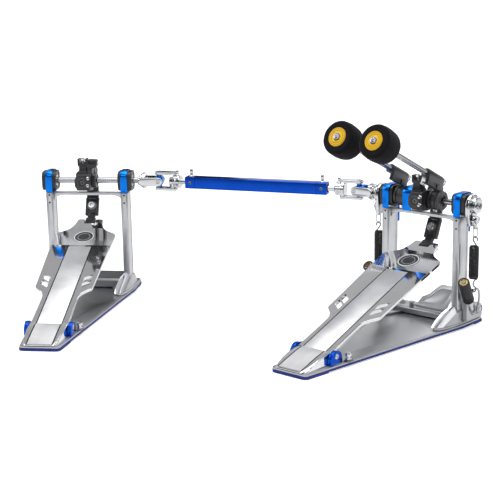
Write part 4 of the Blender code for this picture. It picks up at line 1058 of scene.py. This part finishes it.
def build_swivel(word, top_body, m):
    put = placer(word, top_body, m)
    eye = (SPRING_Y - 1.2, 159.2)
    swivel = rev([(4.2, 0), (6.4, 0), (7.0, 0.6), (7.0, 1.5), (6.5, 2.0), (6.5, 2.4), (7.0, 2.9), (7.0, 3.6),
                  (6.4, 4.2), (4.2, 4.2), (4.2, 0)], (80.2, *eye), (84.4, *eye), 44)
    block = ext("YZ", capsule((eye[0], 151.8), (SPRING_Y, 149.6), 3.2, 12), 79.6, 84.8, 1.0, 3)
    put(join(swivel, block), "spring_hook", "chrome", True)
    loop = stadium(3.3, 8.2, (82.2, 142.6), SPRING_Y)
    put(wire(loop, 0.85, 10, True), "spring_loop", "steel", smooth=60)


def build_coil(word, side, foot_body, top_body, m):
    coil_radius, turns, per_turn = 6.2, 25, 20
    low, high = 74.8, 123.2
    coil = []
    for step in range(turns * per_turn + 1):
        a = 2 * math.pi * step / per_turn
        h = low + (high - low) * step / (turns * per_turn)
        taper = 1 - 0.25 * max(0, 1 - min(step, turns * per_turn - step) / (1.5 * per_turn))
        coil.append((SPRING_X + coil_radius * taper * math.cos(a),
                     SPRING_Y + coil_radius * taper * math.sin(a), h))
    ends = [Vector((side * SPRING_X, SPRING_Y, h)) * K for h in (low, high)]
    add(wire(coil, 0.93, 8), word + "_return_spring", "grip", (foot_body, top_body, *ends), m,
        word + "_return_spring", smooth=60)
    upper = [(SPRING_X + u, SPRING_Y + v, z)
             for u, v, z in ((4.6, 0, 122.6), (2.6, 0, 125.0), (0.6, 0, 127.6), (-1.8, 0, 131),
                             (-1.6, 0.6, 134.4), (1.4, 1.0, 136.0), (4.4, 0.6, 134.0), (5.2, 0, 130.6))]
    add(wire(smooth_path(upper, 7), 0.95, 10), word + "_coil_hook", "dark_steel", top_body, m, smooth=60)
    lower = [(SPRING_X + u, SPRING_Y, z) for u, z in ((4.6, 75.6), (2.0, 72.8), (0, 69.5), (0, 66))]
    foot = [(SPRING_X + u, SPRING_Y, v) for u, v in arc((0, 60.2), (4.3, 4.4), 90, -190, 18)]
    add(wire(smooth_path(lower, 5)[:-1] + foot, 0.95, 10), word + "_spring_foot", "dark_steel", foot_body, m,
        smooth=60)


def build_bracket(word, m):
    put = placer(word, "main_frame", m)
    arm = smooth_path([(74, 25, 30), (77.5, 21.5, 42), (80, 16, 52), (81, 9.5, 58), (81, 4, 59),
                       (81, -3.6, 59)], 8)
    put(wire(arm, 1.8, 12), "spring_arm", "steel", smooth=60)
    face = [(-7, 11.3), (34, 11.3), (34.5, 14), (34.3, 24)] + arc((24.5, 24), (9.8, 9.3), 0, 125, 14)
    face += [(16.8, 30), (15.6, 21.5), (12.5, 18.6), (7, 18.6), (4, 20.6), (-2.4, 30), (-3.6, 42),
             (-5.0, 47.5), (-7, 48)]
    block = ext("YZ", face, 66.1, 75, 1.0, 3)
    put(block, "spring_bracket", "cast", True)
    boss = rev([(0, 0), (7.2, 0), (7.4, 2.4), (6.8, 3.1), (5.6, 3.2), (5.2, 2.2), (0, 2.2)], (74.6, 24.5, 24),
               (78, 24.5, 24), 40)
    put(boss, "bracket_boss", "cast")
    put(hex_bolt((76.6, 24.5, 24), (1, 0, 0), 3.6, 1.2), "bracket_bolt", "steel")


def build_knob(word, knob_body, m):
    put = placer(word, knob_body, m)
    low_end, top_end = Vector((71.5, 10, 26)), Vector((82, -30, 76.5))
    length = (top_end - low_end).length
    stem = rev([(0, -1.6), (3.2, -1), (4.2, 3), (3.6, 6), (6.0, length - 44.5), (6.4, length - 43),
                (0, length - 43)], low_end, top_end, 36)
    put(stem, "knob_stem", "chrome")
    grip_profile = [(0, length - 44), (6.6, length - 44), (7.9, length - 43)]
    for k in range(4):
        z = length - 41.5 + 1.6 * k
        grip_profile += [(8.2, z - 0.55), (7.5, z - 0.35), (7.5, z + 0.2), (8.2, z + 0.4)]
    grip_profile += [(8.2, length - 34), (7.6, length - 33.6), (7.6, length - 32.4), (8.2, length - 32)]
    grip_profile += [(8.2, length - 1.3), (7.5, length), (6.6, length), (6.3, length - 1.6),
                     (0, length - 1.6)]
    grip = rev(grip_profile, low_end, top_end, 72)
    put(grip, "tension_knob", "grip", True, smooth=40)
    ring = rev([(3.4, length - 1.8), (6.2, length - 1.8), (6.2, length - 0.5), (5.6, length - 0.1),
                (4.9, length - 0.1), (4.6, length - 1.2), (3.4, length - 1.2), (3.4, length - 1.8)],
               low_end, top_end, 48)
    put(ring, "knob_ring", "brass")
    put(rev([(0, length - 2.4), (3.3, length - 2.4), (3.3, length - 0.9), (2.7, length - 0.4),
             (0, length - 0.4)], low_end, top_end, 6), "knob_screw", "dark_steel", smooth=20)


def build_spring_side(side, word, axle_body):
    m = MAIN if side > 0 else Matrix.Diagonal((-1, 1, 1, 1))
    build_cam(word, axle_body, m)
    build_swivel(word, word + "_spring_top", m)
    build_coil(word, side, word + "_spring", word + "_spring_top", m)
    build_bracket(word, m)
    build_knob(word, word + "_knob", m)


# ------------------------------------------------------------------ hoop clamp
def build_jaw():
    put = placer("hoop_clamp", "hoop_jaw", shift(0, -6, 22) @ turn(31.6, "X"))
    shape = [(-10, 0), (37, 0), (37, 40)] + arc((31, 39.5), (6, 6), 0, 90, 8) + [(18, 45.5)]
    shape += arc((12.5, 38.5), (7.5, 7), 90, 150, 6) + [(-1, 24), (-9, 16)]
    plate = ext("XY", shape, -2, 2, 1.2, 3)
    groove = ext("XY", [(-4, 8), (32, 8), (32, 38), (14, 38), (8, 32), (4, 20)], 1.3, 3.0, 0.2)
    cut(plate, groove)
    put(plate, "jaw", "cast", True)
    put(cyl((-22, 0, 0), (44, 0, 0), 2.4), "pin", "steel")
    put(cyl((-10, 0, 0), (37, 0, 0), 3.3), "barrel", "cast")
    for k, x in enumerate((-21, 38.5)):
        ear = box((x, -10, 15), (x + 4.5, -2, 26.4), 1.0, 3)
        cut(ear, cyl((x - 2, -6, 22), (x + 8, -6, 22), 2.7, edge=0))
        add(ear, f"hoop_clamp_ear_{k}", "cast", "main_frame")


# ------------------------------------------------------------------ drive shaft
def ears():
    """A yoke's two ears on their round flange, around the joint's centre."""
    shape = capsule((0, 0), (24, 0), 6.6, 20)
    parts = [ext("XY", shape, low, high, 0.9, 3) for low, high in ((10, 14.6), (-14.6, -10))]
    flange = rev([(0, 0), (11.4, 0), (12.6, 1.2), (12.6, 4.6), (11.6, 6), (0, 6)], (21, 0, 0), (27, 0, 0), 48)
    return union(flange, *parts)


def pin_faces(put, name, profile):
    """A turned piece on the outer face of each ear."""
    for k, z in enumerate((-PIN_CAP, PIN_CAP)):
        put(rev(profile, (0, 0, z), (0, 0, z + math.copysign(1, z)), 32), f"{name}_{k}", "steel")


def build_axle_yoke(name, at, body):
    put = placer(name, body, at)
    yoke = ears()
    cut(yoke, cyl((15, 0, 0), (40, 0, 0), 4.8, edge=0), cyl((0, 0, -20), (0, 0, 20), 3.15, edge=0))
    add(yoke, name, "chrome", body, at, name)
    sleeve = rev([(4.7, 0), (9.8, 0), (10.2, 0.5), (10.2, 3.0), (9.2, 4.0), (7.8, 4.4), (7.6, 6.6),
                  (6.9, 7.4), (4.7, 7.4), (4.7, 0)], (26.1, 0, 0), (33.5, 0, 0), 48)
    put(sleeve, "sleeve", "chrome")
    # Painted shade: a dark block where the sleeve's clamp slit would show.
    slit_shade = box((22, -0.5, 8.5), (33, 0.5, 12.7))
    put(slit_shade, "slit_shade", "shadow")
    pin_faces(put, "pin_cap", [(0, -0.6), (3.0, -0.6), (3.0, 0.15), (2.2, 0.25), (1.4, -0.1), (0, -0.1)])


def build_rod_yoke(name, at, body, block_start, block_end):
    put = placer(name, body, at)
    yoke = ears()
    hub = rev([(0, 0), (10.2, 0), (10.4, 0.6), (10.4, 3.2), (9.6, 4.0), (9.6, 5.4), (10.4, 6.2), (10.4, 9.0),
               (9.4, 10.2), (0, 10.2)], (26.2, 0, 0), (36.5, 0, 0), 48)
    rod = cyl((36, 0, 0), (block_start + 1, 0, 0), 4.3, edge=0)
    cut(yoke, cyl((0, 0, -20), (0, 0, 20), 3.6, edge=0))
    add(join(yoke, hub, rod), name, "chrome", body, at, name)
    put(box((block_start, -5.6, -5.6), (block_end, 5.6, 5.6), 0.6), "slider", "steel")
    put(drum_key_bolt((31, 0, 9.6), (0, 0, 1), 2.6, 7.5, 2.0), "key_bolt", "chrome")
    pin_faces(put, "pin_ring",
              [(2.6, -0.5), (4.9, -0.5), (4.9, 0.1), (4.4, 0.3), (2.6, 0.3), (2.6, -0.5)])


def build_cross(name, at, body):
    core = box((-6, -6, -6), (6, 6, 6), 1.5, 3)
    collars = [cyl((0, s * 5.6, 0), (0, s * 8.6, 0), 4.3) for s in (-1, 1)]
    collars += [cyl((0, 0, s * 5.6), (0, 0, s * 8.6), 4.3) for s in (-1, 1)]
    add(join(core, *collars), name, "blue", body, at, name)
    pins = [cyl((0, -14.8, 0), (0, 14.8, 0), 2.7), cyl((0, 0, -14.3), (0, 0, 14.3), 2.4)]
    add(join(*pins), name + "_pins", "steel", body, at)


def build_tube():
    put = placer("tube", "drive_tube", TUBE)
    start, end = 46.5, SHAFT_LENGTH - 48.9
    outer = ext("YZ", rounded(9, 9, 1.4, (0, 0), 5), start, end, 0.35)
    inner = ext("YZ", rounded(6, 6, 0.6, (0, 0), 3), start - 1, end + 1)
    cut(outer, inner)
    add(outer, "drive_tube", "deep_blue", "drive_tube", TUBE, "drive_tube")
    for k, x in enumerate((start, end)):
        sign = 1 if k == 0 else -1
        low, high = sorted((x + sign * 0.1, x + sign * 15.5))
        # Painted shade: a thin dark ring at the seam where each collar ends.
        line = ext("YZ", rounded(9.03, 9.03, 1.4, (0, 0), 5), x + sign * 16.0 - 0.25, x + sign * 16.0 + 0.25)
        cut(line, ext("YZ", rounded(8.7, 8.7, 1.2, (0, 0), 5), low - 3, high + 30))
        put(line, f"collar_line_{k}", "shadow")
        put(drum_key_bolt((x + sign * 8.2, 0, 8.9), (0, 0, 1), 3.0, 11.0, 2.2), f"key_bolt_{k}", "chrome")
        put(socket_bolt((x + sign * 8.2, -8.8, 0), (0, -1, 0), 2.6, 0.9), f"side_bolt_{k}", "dark_steel")


# ------------------------------------------------------------------ build everything
def build_pedal(prefix, at, bodies, is_main):
    frame_body, board_body, link_body, axle_body = bodies
    build_base(prefix, at, frame_body)
    build_cross_foot(prefix, at, frame_body, is_main)
    build_heel(prefix, at, frame_body)
    build_posts(prefix, at, frame_body)
    for side, word in SIDES:
        low, high = span(side, 50, 71.5)
        band = span(side, 54.6, 65.4)
        build_housing(f"{prefix}_{word}_bearing", frame_body, at, low, high, *band, span(side, 57.2, 62.8))
    build_footboard(prefix, at, board_body)
    build_link(prefix, at, link_body)
    ends = (-22.6, 88) if is_main else (-73, 88)
    build_axle_group(prefix, at, axle_body, *ends, is_main)


build_pedal("main", MAIN, ("main_frame", "main_footboard", "main_link", "right_axle"), True)
build_pedal("slave", SLAVE, ("slave_frame", "slave_footboard", "slave_link", "slave_axle"), False)
build_housing("main_centre_bearing", "main_frame", MAIN, -31, -15.2, -30.4, -15.8)
add(cyl((-96, 0, AXLE_Z), (-23.3, 0, AXLE_Z), AXLE_RADIUS, edge=0.5, steps=48), "left_beater_shaft",
    "steel", "left_shaft", MAIN, "left_beater_shaft")
build_holder("right", "right_axle", RIGHT_ROD_X, 8.4, 20.6, True)
build_holder("left", "left_shaft", LEFT_ROD_X, -49.6, -31.4, False)
for word, rod_x in (("right", RIGHT_ROD_X), ("left", LEFT_ROD_X)):
    body = word + "_beater"
    rod = cyl((rod_x, ROD_OFFSET, -8), (rod_x, ROD_OFFSET, HEAD_END + 1.5), 4.0, edge=0.8, steps=48)
    add(rod, word + "_beater_rod", "rod", body, BEATER, word + "_beater_rod")
    build_head(word, rod_x, body)
build_spring_side(1, "right", "right_axle")
build_spring_side(-1, "left", "left_shaft")
build_jaw()
build_axle_yoke("main_axle_yoke", shift(*MAIN_JOINT) @ turn(90, "X"), "left_shaft")
build_cross("main_joint_cross", shift(*MAIN_JOINT), "main_cross")
build_rod_yoke("main_rod_yoke", INNER, "inner_rod", 92, 128)
build_tube()
slave_joint = SLAVE @ shift(114, 0, AXLE_Z)
build_axle_yoke("slave_axle_yoke", slave_joint @ turn(180, "Z") @ turn(90, "X"), "slave_axle")
build_cross("slave_joint_cross", slave_joint, "slave_cross")
build_rod_yoke("slave_rod_yoke", TUBE, "drive_tube", 48.5, 76.5)


# ------------------------------------------------------------------ floor, lights and camera
def plain(name, colour, roughness, glow=0.0):
    m = Nodes(name)
    shade = m.mix(m.range(m.noise(6), 0, 1), rgb(*colour), rgb(*[c * 0.99 for c in colour]))
    m.set(Base_Color=shade, Roughness=roughness, Specular_IOR_Level=0.2)
    if glow:
        seen = m.new("ShaderNodeLightPath").outputs["Is Camera Ray"]
        m.set(Emission_Color=rgb(1, 1, 1), Emission_Strength=m.range(seen, 0, glow, 0, 1))
    return m.material


def build_stage():
    bm = bmesh.new()
    profile = [(-4.0, 0), (1.6, 0)] + [(1.6 + 0.8 * math.sin(a), 0.8 - 0.8 * math.cos(a))
                                       for a in np.linspace(0.1, math.pi / 2, 14)] + [(2.4, 4.0)]
    rows = [[bm.verts.new((x, y, z)) for x in (-5, 5)] for y, z in profile]
    for near, far in zip(rows, rows[1:]):
        bm.faces.new((near[0], near[1], far[1], far[0]))
    floor = raw(bm)
    floor.name = "studio_floor"
    floor.data.transform(Matrix.Rotation(math.radians(35), 4, "Z"))
    floor.data.transform(Matrix.Translation((-0.2, 0, -0.0002)))
    floor.data.shade_smooth()
    floor.data.materials.append(plain("studio paper", (0.93, 0.93, 0.93), 0.8, 0.5))


def flag(name, location, target, size):
    """A black card that the camera doesn't see, for dark edges in the bright metal."""
    bm = bmesh.new()
    width, height = size
    corners = [(-width / 2, -height / 2, 0), (width / 2, -height / 2, 0), (width / 2, height / 2, 0),
               (-width / 2, height / 2, 0)]
    bm.faces.new([bm.verts.new(corner) for corner in corners])
    obj = raw(bm)
    obj.name = name
    obj.location = location
    obj.rotation_euler = (Vector(target) - Vector(location)).to_track_quat("-Z", "Y").to_euler()
    obj.data.materials.append(plain("black card", (0.01, 0.01, 0.01), 0.9))
    obj.visible_camera = False
    obj.visible_shadow = False
    obj.visible_diffuse = False


def area(name, location, target, size, power):
    light = bpy.data.lights.new(name, "AREA")
    light.shape = "RECTANGLE"
    light.size, light.size_y = size
    light.energy = power
    obj = bpy.data.objects.new(name, light)
    obj.location = location
    obj.rotation_euler = (Vector(target) - Vector(location)).to_track_quat("-Z", "Y").to_euler()
    bpy.context.scene.collection.objects.link(obj)
    obj.visible_camera = False


def build_lights():
    bpy.context.scene.view_settings.view_transform = "Standard"
    centre = (-0.25, -0.15, 0.12)
    area("top_softbox", (-0.3, -0.3, 2.2), centre, (2.4, 1.6), 24)
    area("left_softbox", (-2.2, -1.2, 1.2), centre, (1.2, 1.6), 13)
    area("right_strip", (1.9, 0.2, 1.1), centre, (0.6, 1.6), 9)
    area("front_softbox", (0.5, -2.5, 1.5), centre, (1.8, 0.7), 9)
    area("back_softbox", (0.2, 1.7, 1.3), centre, (2.2, 0.8), 8)
    flag("front_card", (1.0, -1.9, 0.9), centre, (1.1, 0.5))
    flag("left_card", (-1.5, 0.9, 0.6), centre, (0.5, 1.0))
    flag("right_card", (1.2, -0.5, 0.3), centre, (0.35, 0.6))
    world = bpy.data.worlds.new("studio")
    bpy.context.scene.world = world
    world.use_nodes = True
    tree = world.node_tree
    background = tree.nodes["Background"]
    coord = tree.nodes.new("ShaderNodeTexCoord")
    split = tree.nodes.new("ShaderNodeSeparateXYZ")
    ramp = tree.nodes.new("ShaderNodeValToRGB")
    tree.links.new(coord.outputs["Generated"], split.inputs[0])
    tree.links.new(split.outputs["Z"], ramp.inputs[0])
    ramp.color_ramp.elements[0].position = 0.0
    ramp.color_ramp.elements[0].color = rgb(0.65, 0.65, 0.66)
    ramp.color_ramp.elements[1].position = 1.0
    ramp.color_ramp.elements[1].color = rgb(1.0, 1.0, 1.0)
    for position, value in ((0.07, 0.40), (0.15, 0.05), (0.42, 0.10), (0.60, 0.75)):
        element = ramp.color_ramp.elements.new(position)
        element.color = rgb(value, value, value * 1.01)
    tree.links.new(ramp.outputs[0], background.inputs[0])
    background.inputs[1].default_value = 0.6


def build_camera():
    camera = bpy.data.cameras.new("camera")
    camera.lens = 92.3
    camera.sensor_width = 36
    camera.clip_end = 20
    obj = bpy.data.objects.new("camera", camera)
    obj.matrix_world = (Matrix.Translation((0.9853, -1.5294, 0.5450)) @ turn(40.83, "Z")
                        @ turn(90 - 13.60, "X") @ turn(-0.99, "Z"))
    bpy.context.scene.collection.objects.link(obj)
    bpy.context.scene.camera = obj


build_stage()
build_lights()
build_camera()
